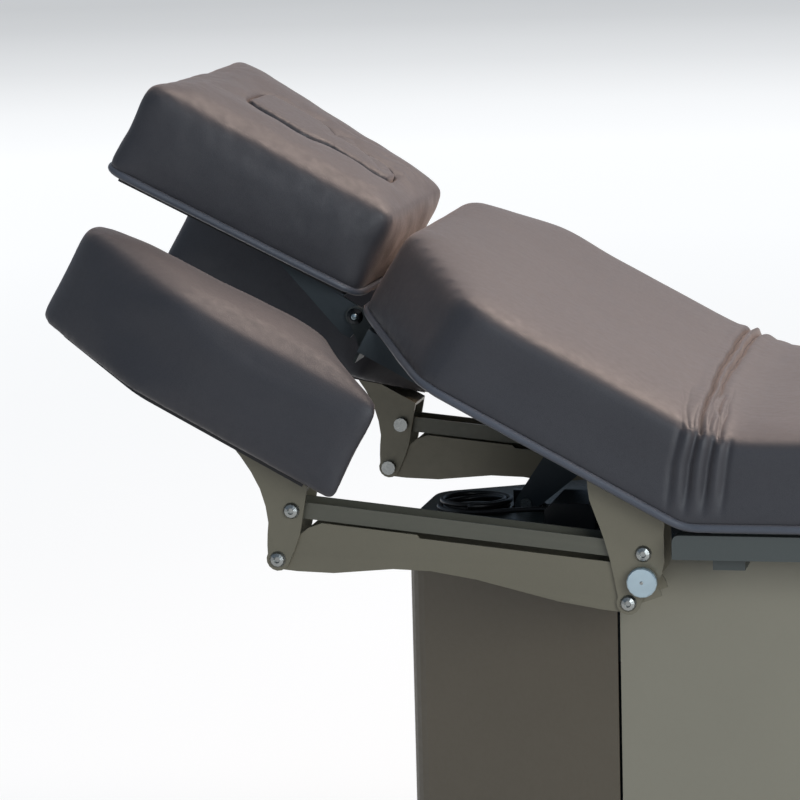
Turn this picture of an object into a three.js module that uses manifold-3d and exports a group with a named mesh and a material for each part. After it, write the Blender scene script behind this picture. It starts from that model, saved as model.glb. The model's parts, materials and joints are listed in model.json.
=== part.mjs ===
// Spa treatment table: headrest, tilting back, two armrests on parallelogram arms, long seat
// section, and a cabinet on lift columns. Millimetres, +Z up, head end towards -X, near side
// towards -Y, origin on the floor under the middle of the part.
import * as THREE from 'three';
import { mergeVertices } from 'three/addons/utils/BufferGeometryUtils.js';
import Module from 'manifold-3d';

const wasm = await Module();
wasm.setup();

// Angles
const degree = Math.PI / 180;
const quarterTurn = 90 * degree;
const halfTurn = 180 * degree;
const backAngle = 28.5 * degree; // back above the flat position
const backHighest = 65 * degree; // steepest back, which sets the fold at the hinge
const armDrop = 22.5 * degree; // arm bars below the plane of the back
const linkLean = 11.2 * degree; // line of a bracket's two pivots off the back's normal

// Clearances and cutting
const seam = 0.3;
const softSeam = 0.5;
const pivotPlay = 0.4;
const overrun = 6;
const lap = 2; // welded pieces run into each other by this
const fine = 16; // sides of a turned piece
const coarse = 12;
const cornerSteps = 5;
const holeSides = 12;
const curveSteps = 4;
const edgeSteps = 8; // along one edge of a bracket

// Heights over the floor
const hingeHeight = 556;
const cabinetBottom = 120;
const shellTop = 400;
const shellBottom = 14;

// Pads: underside above the hinge axis, lengths and thicknesses
const padRise = 40;
const padHalf = 400;
const backLength = 520;
const backShoulder = 385;
const backNeckHalf = 190;
const backThickness = 126;
const seatLength = 1150;
const seatThickness = 110;
const crown = 9;
const tuck = 5;
const waist = 3;
const roll = 15;
const shoulderRadius = 55;
const neckRadius = 40;
const seatCornerRadius = 75;

// Headrest, placed from its pivot on the back
const headrestPivotX = 524;
const headrestPivotZ = 26;
const headrestGap = 4; // pivot to the pad's near end
const headrestLength = 372;
const headrestBackHalf = 174;
const headrestHeadHalf = 234;
const headrestThickness = 116; // at the pivot
const headrestHeadThickness = 128; // at the head end
const headrestRise = 27; // pad underside above the pivot
const headrestRadius = 28;
const headrestBoard = 8.7;
const headrestBoardInset = 24;

// Face insert, a keyhole in plan, placed from the headrest's head end
const insertStart = 100;
const insertLength = 216;
const insertHalf = 60;
const insertNeckHalf = 36;
const insertRadius = 26;
const insertLedge = 9; // rim of the board that carries the insert
const insertWideShare = 0.55;

// Arm pads
const armPadProud = 4; // beyond the side of the back pad
const armPadOuter = padHalf + armPadProud;
const armPadGap = 12; // to the chamfer of the back pad
const armInnerGap = 20; // to the side of the headrest
const armPadHead = 866;
const armPadShoulder = 705;
const armPadNose = 315;
const armPadThickness = 138;
const armPadBase = 142; // underside below the hinge axis plane of the back
const armBoard = 6.7;
const armBoardInset = 32;
const armPadRadius = 32;
const armHeadRadius = 50;
const armTipRadius = 14;
const armShoulderRadius = 110;

// Arm linkage
const armSetIn = 75; // middle of each linkage from the side of the pad
const armPlane = padHalf - armSetIn;
const barLength = 450; // between the pivots of one bar
const linkSpacing = 66; // between the two pivots of one bracket
const basePivotX = 40; // upper base pivot, from the back hinge towards the head
const basePivotZ = 14.5; // and below the plane of the hinge
const bracketWidth = 66;
const bracketPlate = 4;
const lowerBarWidth = 56;
const lowerBarPlate = 3;
const upperBarWidth = 46;
const upperBarPlate = 3;
const upperBarHalf = 10.5;
const boltRadius = 6;
const boltHeadRadius = 10.5;
const boltHeadHeight = 6.5;
const nutHeight = 8;
const nutRadius = 10;
const bossRadius = 15;

// Lower bar outline, from its base pivot towards its head pivot
const barBoss = 13.5;
const barTop = 52;
const barRelief = 4;
const barReliefEnd = 275;
const barSlopeStart = 398;
const barSlopeEnd = 415;
const barNotchTop = 44;
const barArch = 8;
const barLobe = 42;
const webStart = 38;
const webEnd = 414;
const bellyShares = { out: 0.07, pullA: 0.25, pullB: 0.38, crest: 0.565, pullC: 0.73, pullD: 0.78, end: 0.945 };

// Clamp knob, and the curved slot that its stud runs in
const knobX = 24.5;
const knobZ = 45;
const knobRadius = 19;
const knobThickness = 9;
const knobRim = 1.5;
const knobNeckRadius = 8;
const knobNeck = 5;
const studRadius = 4;
const clampRadius = 8;
const clampThickness = 3;
const slotSwing = 23.5 * degree; // to each side
const slotSteps = 4;

// Frames
const deckThickness = 4.3;
const frameTubeHeight = 30.4;
const backRailPlane = 220;
const backRailWidth = 30;
const knuckleRadius = 15;
const hingePinRadius = 8;
const earThickness = 6;
const earGap = 1;
const deckInset = 30;
const backFrameHead = 490;
const backDeckFoot = 45;
const railSetIn = 15; // from the side of the pad
const railOuter = padHalf - railSetIn;
const railWidth = 22;
const railStart = 3;
const seatFrameEnd = 1125;
const frameTube = 40;
const beamHeight = 45;
const beamDrop = 11; // top of the main beams below the hinge axis
const beamPlane = 80;
const beamWidth = 40;
const noseDeckThickness = 4;
const noseDeckEnd = 25;

// Actuator of the back: both of its pins are at one distance from the hinge
const leverReach = 222;
const leverDrop = 120;
const housingPinAngle = 110 * degree;
const actuatorPinRadius = 6;
const eyeHalf = 12;
const eyeRadius = 15;
const clevisPlate = 6;
const tubeRadius = 22;
const rodRadius = 12;
const tubeReach = 300;
const rodLength = 236;
const gearReach = 46;
const gearLength = 50;
const gearHalf = 24;
const gearDepth = 80;
const motorRadius = 25;
const motorLength = 110;

// Cabinet
const cabinetHalf = 280;
const cabinetStart = -87;
const cabinetSide = 600;
const noseLength = 312;
const noseHalf = 100;
const noseRadius = 50;
const sheet = 3;
const flange = 18;
const panelGap = 4;
const shellInset = 15;

// Base and lift
const footRadius = 25;
const footPlate = 11;
const footHeight = 19.7;
const baseTube = 40;
const baseRailPlane = 150;
const baseOverhang = 20;
const footSetback = 93; // feet from the ends of the cabinet's sides
const columnOuter = 120;
const columnWall = 4;
const columnStart = 210;
const columnPitch = 230;
const columnTop = 400;
const columnInnerBottom = 150;
const columnPlate = 4;

// Control box, cable and its socket, on the deck over the cabinet nose
const boxStart = 204;
const boxLength = 67;
const boxHeight = 34;
const boxWidth = 100;
const boxPlane = -100;
const boxChamfer = 10;
const cableRadius = 3.5;
const cablePitch = 8;
const coilRadius = 50;
const coilX = -322;
const coilY = -16;
const coilTurns = 1.5; // in each of two layers
const coilSteps = 24;
const cableSides = 6;
const glandY = -78;
const glandRise = 12;
const socketSide = 17;
const socketGap = 44;

// Materials
function finish(color, roughness, metalness) {
  return new THREE.MeshStandardMaterial({ color, roughness, metalness, flatShading: true });
}
const leather = finish(0x7d736f, 0.62, 0);
const darkBoard = finish(0x2c2a2a, 0.8, 0);
const olivePaint = finish(0x72736a, 0.45, 0.4);
const greyPaint = finish(0x4b5155, 0.5, 0.4);
const cabinetPaint = finish(0x77776e, 0.55, 0.2);
const brightSteel = finish(0xb9bec2, 0.25, 1);
const blackPlastic = finish(0x18191b, 0.5, 0);
const rubberBlack = finish(0x121212, 0.85, 0);

// Solids for joining and cutting
function solid(geometry) {
  const bare = geometry.clone();
  for (const name of Object.keys(bare.attributes)) {
    if (name !== 'position') bare.deleteAttribute(name);
  }
  const merged = mergeVertices(bare);
  const corners = merged.index.array;
  const kept = [];
  for (let i = 0; i < corners.length; i += 3) {
    const [a, b, c] = [corners[i], corners[i + 1], corners[i + 2]];
    if (a !== b && b !== c && c !== a) kept.push(a, b, c);
  }
  const vertProperties = new Float32Array(merged.getAttribute('position').array);
  const triVerts = new Uint32Array(kept);
  return new wasm.Manifold(new wasm.Mesh({ numProp: 3, vertProperties, triVerts }));
}

function geometryOf(shape) {
  const mesh = shape.getMesh();
  const geometry = new THREE.BufferGeometry();
  geometry.setAttribute('position', new THREE.BufferAttribute(new Float32Array(mesh.vertProperties), 3));
  geometry.setIndex(new THREE.BufferAttribute(new Uint32Array(mesh.triVerts), 1));
  return geometry;
}

function joined(...geometries) {
  return geometries.map(solid).reduce((whole, piece) => whole.add(piece));
}

function cutBy(shape, ...geometries) {
  return geometries.map(solid).reduce((left, piece) => left.subtract(piece), shape);
}

// Shapes in the plane of a side plate have x along the table and y up
function block(x0, x1, y0, y1, z0, z1) {
  const geometry = new THREE.BoxGeometry(x1 - x0, y1 - y0, z1 - z0);
  return geometry.translate((x0 + x1) / 2, (y0 + y1) / 2, (z0 + z1) / 2);
}

function sidePlate(shape, width, middle = 0) {
  const geometry = new THREE.ExtrudeGeometry(shape, {
    depth: width, bevelEnabled: false, curveSegments: curveSteps,
  });
  geometry.translate(0, 0, -width / 2);
  geometry.rotateX(quarterTurn);
  return geometry.translate(0, middle, 0);
}

function circleHole(x, y, radius) {
  const points = [];
  for (let i = 0; i < holeSides; i += 1) {
    const angle = (i / holeSides) * 2 * halfTurn;
    points.push(new THREE.Vector2(x + radius * Math.cos(angle), y + radius * Math.sin(angle)));
  }
  return new THREE.Path(points);
}

function flatPlate(points, z0, z1) {
  const geometry = new THREE.ExtrudeGeometry(new THREE.Shape(points), { depth: z1 - z0, bevelEnabled: false });
  return geometry.translate(0, 0, z0);
}

function crossRod(radius, width, x, z, middle = 0, sides = fine) {
  const geometry = new THREE.CylinderGeometry(radius, radius, width, sides);
  return geometry.translate(x, middle, z);
}

// Turned piece whose axis is the table's Y; profile points are radius and place along Y
function turned(profile, sides = coarse) {
  const points = profile.map(([radius, place]) => new THREE.Vector2(radius, place));
  return new THREE.LatheGeometry(points, sides);
}

// Outline through corners [x, y, radius], with round corners
function rounded(corners) {
  const path = new THREE.Path();
  corners.forEach(([x, y, radius], i) => {
    const corner = new THREE.Vector2(x, y);
    const before = corners[(i + corners.length - 1) % corners.length];
    const after = corners[(i + 1) % corners.length];
    const toBefore = new THREE.Vector2(before[0] - x, before[1] - y);
    const toAfter = new THREE.Vector2(after[0] - x, after[1] - y);
    const half = Math.abs(toBefore.angle() - toAfter.angle()) / 2;
    const reach = Math.min(radius / Math.abs(Math.tan(half)), toBefore.length() / 2, toAfter.length() / 2);
    const enter = corner.clone().add(toBefore.setLength(reach));
    const leave = corner.clone().add(toAfter.setLength(reach));
    if (i === 0) path.moveTo(enter.x, enter.y);
    else path.lineTo(enter.x, enter.y);
    path.quadraticCurveTo(corner.x, corner.y, leave.x, leave.y);
  });
  const points = path.getPoints(cornerSteps);
  return points.filter((p, i) => i === 0 || p.distanceTo(points[i - 1]) > weldDistance);
}
const weldDistance = 0.01;

function mirrored(points) {
  return points.map((p) => new THREE.Vector2(p.x, -p.y)).reverse();
}

// Outline moved inwards by a distance, corner by corner
function insetCorners(corners, distance) {
  return corners.map(([x, y, radius], i) => {
    const before = corners[(i + corners.length - 1) % corners.length];
    const after = corners[(i + 1) % corners.length];
    const into = new THREE.Vector2(x - before[0], y - before[1]).normalize();
    const out = new THREE.Vector2(after[0] - x, after[1] - y).normalize();
    const turn = 1 + into.dot(out);
    const shift = new THREE.Vector2(-into.y - out.y, into.x + out.x).multiplyScalar(distance / turn);
    return [x + shift.x, y + shift.y, Math.max(radius - distance, 0)];
  });
}

// Skin over rings of equal count, closed by a flat cap at each end
function loft(rings, firstFlat, lastFlat) {
  const count = rings[0].length;
  const positions = rings.flat().flatMap((p) => [p.x, p.y, p.z]);
  const faces = [];
  for (let r = 0; r + 1 < rings.length; r += 1) {
    for (let i = 0; i < count; i += 1) {
      const a = r * count + i;
      const b = r * count + ((i + 1) % count);
      faces.push(a, b, b + count, a, b + count, a + count);
    }
  }
  const last = (rings.length - 1) * count;
  for (const [a, b, c] of THREE.ShapeUtils.triangulateShape(firstFlat, [])) faces.push(c, b, a);
  for (const [a, b, c] of THREE.ShapeUtils.triangulateShape(lastFlat, [])) faces.push(last + a, last + b, last + c);
  if (enclosed(positions, faces) < 0) faces.reverse();
  const geometry = new THREE.BufferGeometry();
  geometry.setAttribute('position', new THREE.Float32BufferAttribute(positions, 3));
  geometry.setIndex(faces);
  return geometry;
}

function enclosed(positions, faces) {
  const corner = (i) => new THREE.Vector3().fromArray(positions, 3 * i);
  let volume = 0;
  for (let i = 0; i < faces.length; i += 3) {
    volume += corner(faces[i]).dot(corner(faces[i + 1]).cross(corner(faces[i + 2])));
  }
  return volume;
}

// Shares of the pad's height, and of its tuck, waist and roll there
const sideShares = [
  [0, 1, 0, 0], [0.08, 0.2, 0.1, 0], [0.28, 0, 0.8, 0], [0.5, 0, 1, 0], [0.76, 0, 0.6, 0.03],
  [0.9, 0, 0.1, 0.2], [0.968, 0, 0, 0.52], [1, 0, 0, 1],
];
const topShares = [0.08, 0.22, 0.45, 0.75];
const crownPower = 4;

function sideInset([, tuckShare, waistShare, rollShare]) {
  return tuck * tuckShare + waist * waistShare + roll * rollShare;
}

// Upholstered pad on an outline: drawn-in sides, rolled edge and crowned top
function cushion(outline, bottom, thickness) {
  const box = new THREE.Box2().setFromPoints(outline);
  const middle = box.getCenter(new THREE.Vector2());
  const half = box.getSize(new THREE.Vector2()).divideScalar(2);
  const pulled = (points, distance) => points.map((p) => new THREE.Vector2(
    middle.x + (p.x - middle.x) * (1 - distance / half.x),
    middle.y + (p.y - middle.y) * (1 - distance / half.y),
  ));
  const rings = sideShares.map((level) => pulled(outline, sideInset(level))
    .map((p) => new THREE.Vector3(p.x, p.y, bottom + thickness * level[0])));
  const edge = pulled(outline, roll);
  for (const share of topShares) {
    const height = bottom + thickness + crown * (1 - (1 - share) ** crownPower);
    rings.push(edge.map((p) => new THREE.Vector3(
      middle.x + (p.x - middle.x) * (1 - share), middle.y + (p.y - middle.y) * (1 - share), height,
    )));
  }
  return loft(rings, outline, outline);
}

function node(name, geometry, material, parent) {
  const mesh = new THREE.Mesh(geometry, material);
  mesh.name = name;
  parent.add(mesh);
  return mesh;
}

function groupAt(parent, x, y, z, turn = 0) {
  const group = new THREE.Group();
  group.position.set(x, y, z);
  group.rotation.y = turn;
  parent.add(group);
  return group;
}

const table = new THREE.Group();
const lift = groupAt(table, 0, 0, hingeHeight);
const back = groupAt(lift, 0, 0, 0, backAngle);
const sides = [['near', -1], ['far', 1]];

// Pads of the back and the seat, cut where the cover folds over the hinge
const foldHalf = backHighest / 2;
const foldReach = backThickness + padRise;

function foldCutter(lean, side) {
  const span = 2 * foldReach + seatLength;
  const cutter = block(0, side * span, -span, span, -span, span);
  const facing = side > 0 ? cutter : block(-span, 0, -span, span, -span, span);
  facing.translate(-side * softSeam / 2, 0, 0);
  return facing.rotateY(lean);
}

function backOutline() {
  return rounded([
    [foldReach, -padHalf, 0], [foldReach, padHalf, 0],
    [-backShoulder, padHalf, shoulderRadius], [-backLength, backNeckHalf, neckRadius],
    [-backLength, -backNeckHalf, neckRadius], [-backShoulder, -padHalf, shoulderRadius],
  ]);
}

function seatOutline() {
  return rounded([
    [seatLength, -padHalf, seatCornerRadius], [seatLength, padHalf, seatCornerRadius],
    [-foldReach, padHalf, 0], [-foldReach, -padHalf, 0],
  ]);
}

function makeMainPads() {
  const backPad = cutBy(solid(cushion(backOutline(), padRise, backThickness)), foldCutter(-foldHalf, 1));
  node('back_cushion', geometryOf(backPad), leather, back);
  const seatPad = cutBy(solid(cushion(seatOutline(), padRise, seatThickness)), foldCutter(foldHalf, -1));
  node('seat_cushion', geometryOf(seatPad), leather, lift);
  node('fold_cushion', foldCushion(), leather, lift);
}

// Pad between the two cut faces, made of sections that stand on the hinge axis
const foldSections = 8;

function foldCushion() {
  const first = foldHalf;
  const last = backAngle - foldHalf;
  const rings = [];
  const flats = [];
  for (let i = 0; i <= foldSections; i += 1) {
    const lean = first + (last - first) * (i / foldSections);
    const low = padRise / Math.min(Math.cos(lean), Math.cos(lean - backAngle));
    const overSeat = (height) => (padRise + seatThickness + height) / Math.cos(lean);
    const overBack = (height) => (padRise + backThickness + height) / Math.cos(lean - backAngle);
    const shift = i === 0 ? -softSeam / 2 : i === foldSections ? softSeam / 2 : 0;
    const flat = foldSection(low, (height) => Math.max(overSeat(height), overBack(height)));
    flats.push(flat);
    rings.push(flat.map((p) => new THREE.Vector3(
      p.y * Math.sin(lean) + shift * Math.cos(lean), p.x, p.y * Math.cos(lean) - shift * Math.sin(lean),
    )));
  }
  return loft(rings, flats[0], flats[foldSections]);
}

function foldSection(low, topAt) {
  const top = topAt(0);
  const nearSide = sideShares.map((level) => new THREE.Vector2(
    -padHalf + sideInset(level), low + (top - low) * level[0],
  ));
  const nearTop = topShares.map((share) => new THREE.Vector2(
    -(padHalf - roll) * (1 - share), topAt(crown * (1 - (1 - share) ** crownPower)),
  ));
  const nearHalf = [...nearSide, ...nearTop];
  const farHalf = nearHalf.map((p) => new THREE.Vector2(-p.x, p.y)).reverse();
  return [...nearHalf, ...farHalf].reverse();
}

// Back frame: deck, two rails with hinge knuckles, cross tubes and the lever of the actuator
const deckBottom = padRise - seam - deckThickness;
const tubeBottom = deckBottom - frameTubeHeight;

function backRailShape() {
  const shape = new THREE.Shape();
  shape.moveTo(-backFrameHead, tubeBottom);
  shape.lineTo(-backFrameHead, deckBottom + lap);
  shape.lineTo(-deckBottom, deckBottom + lap);
  shape.lineTo(0, knuckleRadius);
  shape.absarc(0, 0, knuckleRadius, quarterTurn, -quarterTurn, true);
  shape.lineTo(-frameTube, tubeBottom);
  shape.holes.push(circleHole(0, 0, hingePinRadius + pivotPlay));
  return shape;
}

function leverShape() {
  const shape = new THREE.Shape();
  const top = deckBottom + lap;
  shape.moveTo(-leverReach + eyeRadius, -leverDrop);
  shape.lineTo(-leverReach + 2 * frameTube, top);
  shape.lineTo(-leverReach, top);
  shape.lineTo(-leverReach - eyeRadius, -leverDrop);
  shape.absarc(-leverReach, -leverDrop, eyeRadius, halfTurn, 2 * halfTurn, false);
  shape.holes.push(circleHole(-leverReach, -leverDrop, actuatorPinRadius + pivotPlay));
  return shape;
}

const clevisPlane = eyeHalf + softSeam + clevisPlate / 2;
const backTubes = [backFrameHead - frameTube / 2, 2 * frameTube + frameTube / 2];

function makeBackFrame() {
  const deck = rounded(insetCorners([
    [-backDeckFoot + deckInset, -padHalf, 0], [-backDeckFoot + deckInset, padHalf, 0],
    [-backShoulder, padHalf, shoulderRadius], [-backLength, backNeckHalf, neckRadius],
    [-backLength, -backNeckHalf, neckRadius], [-backShoulder, -padHalf, shoulderRadius],
  ], deckInset));
  const pieces = [flatPlate(deck, deckBottom, padRise - seam)];
  for (const [, side] of sides) {
    pieces.push(sidePlate(backRailShape(), backRailWidth, side * backRailPlane));
    pieces.push(sidePlate(leverShape(), clevisPlate, side * clevisPlane));
  }
  for (const place of backTubes) {
    pieces.push(block(-place - frameTube / 2, -place + frameTube / 2,
      -backRailPlane, backRailPlane, tubeBottom, deckBottom + lap));
  }
  node('back_frame', geometryOf(joined(...pieces)), greyPaint, back);
}

// Seat frame: rails, deck, cross tubes, main beams over the lift, deck over the cabinet nose
const beamTop = -beamDrop;
const beamBottom = beamTop - beamHeight;
const housingPinX = -Math.hypot(leverReach, leverDrop) * Math.cos(housingPinAngle);
const housingPinZ = -Math.hypot(leverReach, leverDrop) * Math.sin(housingPinAngle);
const seatFrameStart = 45;
const cabinetEnd = cabinetStart + cabinetSide;

function earShape() {
  const shape = new THREE.Shape();
  shape.moveTo(0, -knuckleRadius);
  shape.lineTo(seatFrameStart + lap, beamTop);
  shape.lineTo(seatFrameStart + lap, deckBottom);
  shape.lineTo(knuckleRadius, knuckleRadius);
  shape.lineTo(0, knuckleRadius);
  shape.absarc(0, 0, knuckleRadius, quarterTurn, 3 * quarterTurn, false);
  shape.holes.push(circleHole(0, 0, hingePinRadius + pivotPlay));
  return shape;
}

function hangerShape() {
  const shape = new THREE.Shape();
  const right = housingPinX + 3 * eyeRadius;
  shape.moveTo(housingPinX, housingPinZ - eyeRadius);
  shape.lineTo(housingPinX + eyeRadius, housingPinZ);
  shape.lineTo(right, beamBottom + lap);
  shape.lineTo(housingPinX + eyeRadius, beamBottom + lap);
  shape.lineTo(housingPinX - eyeRadius / 2, housingPinZ + eyeRadius);
  shape.absarc(housingPinX, housingPinZ, eyeRadius, 2 * quarterTurn, 3 * quarterTurn, false);
  shape.holes.push(circleHole(housingPinX, housingPinZ, actuatorPinRadius + pivotPlay));
  return shape;
}

function cabinetCorners() {
  const headEnd = cabinetStart - noseLength;
  const footEnd = cabinetEnd + noseLength;
  return [
    [headEnd, -noseHalf, noseRadius], [cabinetStart, -cabinetHalf, sheet],
    [cabinetEnd, -cabinetHalf, sheet], [footEnd, -noseHalf, noseRadius],
    [footEnd, noseHalf, noseRadius], [cabinetEnd, cabinetHalf, sheet],
    [cabinetStart, cabinetHalf, sheet], [headEnd, noseHalf, noseRadius],
  ];
}

const slotStart = leverReach + 3.5 * eyeRadius;
const slotEnd = 3 * eyeRadius;
const slotHalf = clevisPlane + eyeRadius / 2;

function makeSeatFrame() {
  const railInner = railOuter - railWidth;
  const deck = rounded(insetCorners([
    [seatLength, -padHalf, seatCornerRadius], [seatLength, padHalf, seatCornerRadius],
    [seatFrameStart - deckInset, padHalf, deckInset], [seatFrameStart - deckInset, -padHalf, deckInset],
  ], deckInset));
  const pieces = [flatPlate(deck, deckBottom, padRise - seam)];
  for (const [, side] of sides) {
    const railShape = new THREE.Shape(rounded([
      [-railStart, tubeBottom, lap], [seatFrameEnd, tubeBottom, lap],
      [seatFrameEnd, deckBottom, lap], [-railStart, deckBottom, frameTubeHeight / 3],
    ]));
    pieces.push(sidePlate(railShape, railWidth, side * (railOuter - railWidth / 2)));
    for (const place of [-1, 1]) {
      const plane = backRailPlane + place * (backRailWidth / 2 + earGap + earThickness / 2);
      pieces.push(sidePlate(earShape(), earThickness, side * plane));
    }
    pieces.push(block(cabinetStart - noseLength + noseHalf, cabinetEnd,
      side * beamPlane - beamWidth / 2, side * beamPlane + beamWidth / 2, beamBottom, beamTop + lap / 2));
    pieces.push(sidePlate(hangerShape(), clevisPlate, side * clevisPlane));
  }
  for (const place of [seatFrameStart, columnStart + columnPitch]) {
    pieces.push(block(place, place + frameTube, -railInner - lap, railInner + lap, beamTop, deckBottom + lap));
  }
  for (const place of [(cabinetEnd + seatLength) / 2, seatFrameEnd - frameTube]) {
    pieces.push(block(place, place + frameTube, -railInner - lap, railInner + lap, tubeBottom, deckBottom + lap));
  }
  pieces.push(block(housingPinX + eyeRadius, housingPinX + 3 * eyeRadius,
    -beamPlane, beamPlane, beamBottom, beamTop));
  for (const place of [columnStart, columnStart + columnPitch]) {
    pieces.push(block(place - columnOuter / 2, place + columnOuter / 2,
      -beamPlane, beamPlane, beamBottom - columnPlate, beamBottom + lap));
  }
  const noseDeck = rounded(insetCorners(cabinetCorners(), sheet)).map((p) => p.clone());
  const noseTop = beamTop + noseDeckThickness;
  const nosePlate = solid(flatPlate(noseDeck, beamTop, noseTop))
    .subtract(solid(block(-noseDeckEnd, cabinetEnd - frameTube, -padHalf, padHalf, beamBottom, padRise)))
    .subtract(solid(block(-slotStart, -slotEnd, -slotHalf, slotHalf, beamBottom, padRise)));
  node('seat_frame', geometryOf(joined(...pieces).add(nosePlate)), greyPaint, lift);
}

// Hinge pins of the back
function makeHingePins() {
  const reach = backRailWidth / 2 + earGap + earThickness + seam;
  for (const [name, side] of sides) {
    const pin = turned([
      [0, -reach - seam], [hingePinRadius, -reach - seam], [hingePinRadius, reach],
      [hingePinRadius + bracketPlate, reach], [hingePinRadius + bracketPlate, reach + bracketPlate],
      [hingePinRadius, reach + bracketPlate + seam], [0, reach + bracketPlate + seam],
    ], fine);
    const mesh = node(`back_hinge_pin_${name}`, pin, brightSteel, lift);
    mesh.position.y = side * backRailPlane;
    mesh.rotation.z = side > 0 ? 0 : halfTurn;
  }
}

// Headrest on a rod through the hinge plates of the back
const headrest = groupAt(back, -headrestPivotX, 0, headrestPivotZ);
const headrestPlatePlane = 149;
const headrestPlate = 4;
const headrestTray = 3; // thickness of the tray under the board
const headrestTrayShare = 0.84;
const headrestRodRadius = 6;
const headrestNose = 13;
const headrestTail = 30;

function headrestCorners() {
  const headEnd = -headrestGap - headrestLength;
  return [
    [-headrestGap, -headrestBackHalf, headrestRadius], [-headrestGap, headrestBackHalf, headrestRadius],
    [headEnd, headrestHeadHalf, headrestRadius], [headEnd, -headrestHeadHalf, headrestRadius],
  ];
}

function keyhole(grow) {
  const start = -headrestGap - headrestLength + insertStart;
  const middle = start + insertLength * insertWideShare;
  return rounded([
    [start + insertLength + grow, -insertNeckHalf - grow, insertRadius],
    [start + insertLength + grow, insertNeckHalf + grow, insertRadius],
    [middle, insertNeckHalf + grow, insertRadius], [middle - insertRadius, insertHalf + grow, insertRadius],
    [start - grow, insertHalf + grow, insertRadius], [start - grow, -insertHalf - grow, insertRadius],
    [middle - insertRadius, -insertHalf - grow, insertRadius],
    [middle, -insertNeckHalf - grow, insertRadius],
  ]);
}

// Pad of the headrest, thicker towards the head end
function headrestPad() {
  const pad = cushion(rounded(headrestCorners()), headrestRise, headrestThickness);
  const place = pad.attributes.position;
  const growth = (headrestHeadThickness / headrestThickness - 1) / headrestLength;
  for (let i = 0; i < place.count; i += 1) {
    const share = 1 + growth * (-place.getX(i) - headrestGap);
    place.setZ(i, headrestRise + (place.getZ(i) - headrestRise) * share);
  }
  return pad;
}

function makeHeadrest() {
  const pad = solid(headrestPad());
  const top = headrestRise + headrestHeadThickness + crown + overrun;
  const low = headrestRise - overrun;
  const hole = flatPlate(keyhole(softSeam), low, top);
  const plug = flatPlate(keyhole(0), low, top);
  node('headrest_cushion', geometryOf(cutBy(pad, hole)), leather, headrest);
  node('face_insert', geometryOf(pad.intersect(solid(plug))), leather, headrest);
  const boardTop = headrestRise - seam;
  const boardLow = boardTop - headrestBoard;
  const board = flatPlate(rounded(insetCorners(headrestCorners(), headrestBoardInset)), boardLow, boardTop);
  const breath = flatPlate(keyhole(-insertLedge), boardLow - overrun, boardTop + overrun);
  node('headrest_board', geometryOf(cutBy(solid(board), breath)), darkBoard, headrest);
  makeHeadrestFrame(boardLow - seam, breath);
}

function headrestPlateShape(top) {
  const shape = new THREE.Shape();
  const tip = -headrestLength / 3;
  shape.moveTo(tip, top);
  shape.lineTo(tip, top - headrestPlate);
  shape.lineTo(-headrestNose / 2, -headrestTail);
  shape.lineTo(headrestNose / 2, -headrestTail);
  shape.lineTo(headrestNose, 0);
  shape.absarc(0, 0, headrestNose, 0, quarterTurn, false);
  shape.holes.push(circleHole(0, 0, headrestRodRadius + pivotPlay));
  return shape;
}

function makeHeadrestFrame(top, breath) {
  const inner = headrestPlatePlane + headrestPlate / 2;
  const trayEnd = -headrestLength * headrestTrayShare;
  const tray = block(trayEnd, -2 * headrestNose, -inner, inner, top - headrestTray, top);
  const pieces = [tray];
  for (const [, side] of sides) {
    pieces.push(sidePlate(headrestPlateShape(top), headrestPlate, side * headrestPlatePlane));
  }
  node('headrest_frame', geometryOf(cutBy(joined(...pieces), breath)), greyPaint, headrest);
  const reach = hingePlatePlane + headrestPlate / 2 + seam;
  const capHeight = headrestPlate;
  const rod = turned([
    [0, -reach - capHeight], [headrestNose / 2, -reach - capHeight], [headrestNose - lap, -reach - seam],
    [headrestNose - lap, -reach], [headrestRodRadius, -reach], [headrestRodRadius, reach],
    [headrestNose - lap, reach], [headrestNose - lap, reach + seam], [headrestNose / 2, reach + capHeight],
    [0, reach + capHeight],
  ]);
  node('headrest_rod', rod, brightSteel, headrest);
}

// Hinge plates of the headrest, angle brackets on the head end of the back frame
const hingePlatePlane = headrestPlatePlane + headrestPlate + 2 * seam;
const hingePlateDrop = 18;
const hingeFlange = 44;

function makeHingePlates() {
  const rear = headrestPivotX - backFrameHead - seam;
  const top = deckBottom - headrestPivotZ;
  const low = -headrestPivotZ - hingePlateDrop;
  const shape = new THREE.Shape();
  shape.moveTo(0, -headrestNose);
  shape.lineTo(rear, low);
  shape.lineTo(rear, top);
  shape.lineTo(headrestNose / 2, headrestNose);
  shape.lineTo(0, headrestNose);
  shape.absarc(0, 0, headrestNose, quarterTurn, 3 * quarterTurn, false);
  shape.holes.push(circleHole(0, 0, headrestRodRadius + pivotPlay));
  for (const [name, side] of sides) {
    const outer = side * (hingePlatePlane + headrestPlate / 2);
    const away = outer + side * hingeFlange;
    const tab = block(rear - headrestPlate, rear, Math.min(outer - side * lap, away),
      Math.max(outer - side * lap, away), low, top);
    const bracket = joined(sidePlate(shape, headrestPlate, side * hingePlatePlane), tab);
    const mesh = node(`headrest_hinge_plate_${name}`, geometryOf(bracket), greyPaint, back);
    mesh.position.set(-headrestPivotX, 0, headrestPivotZ);
  }
}

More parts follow.
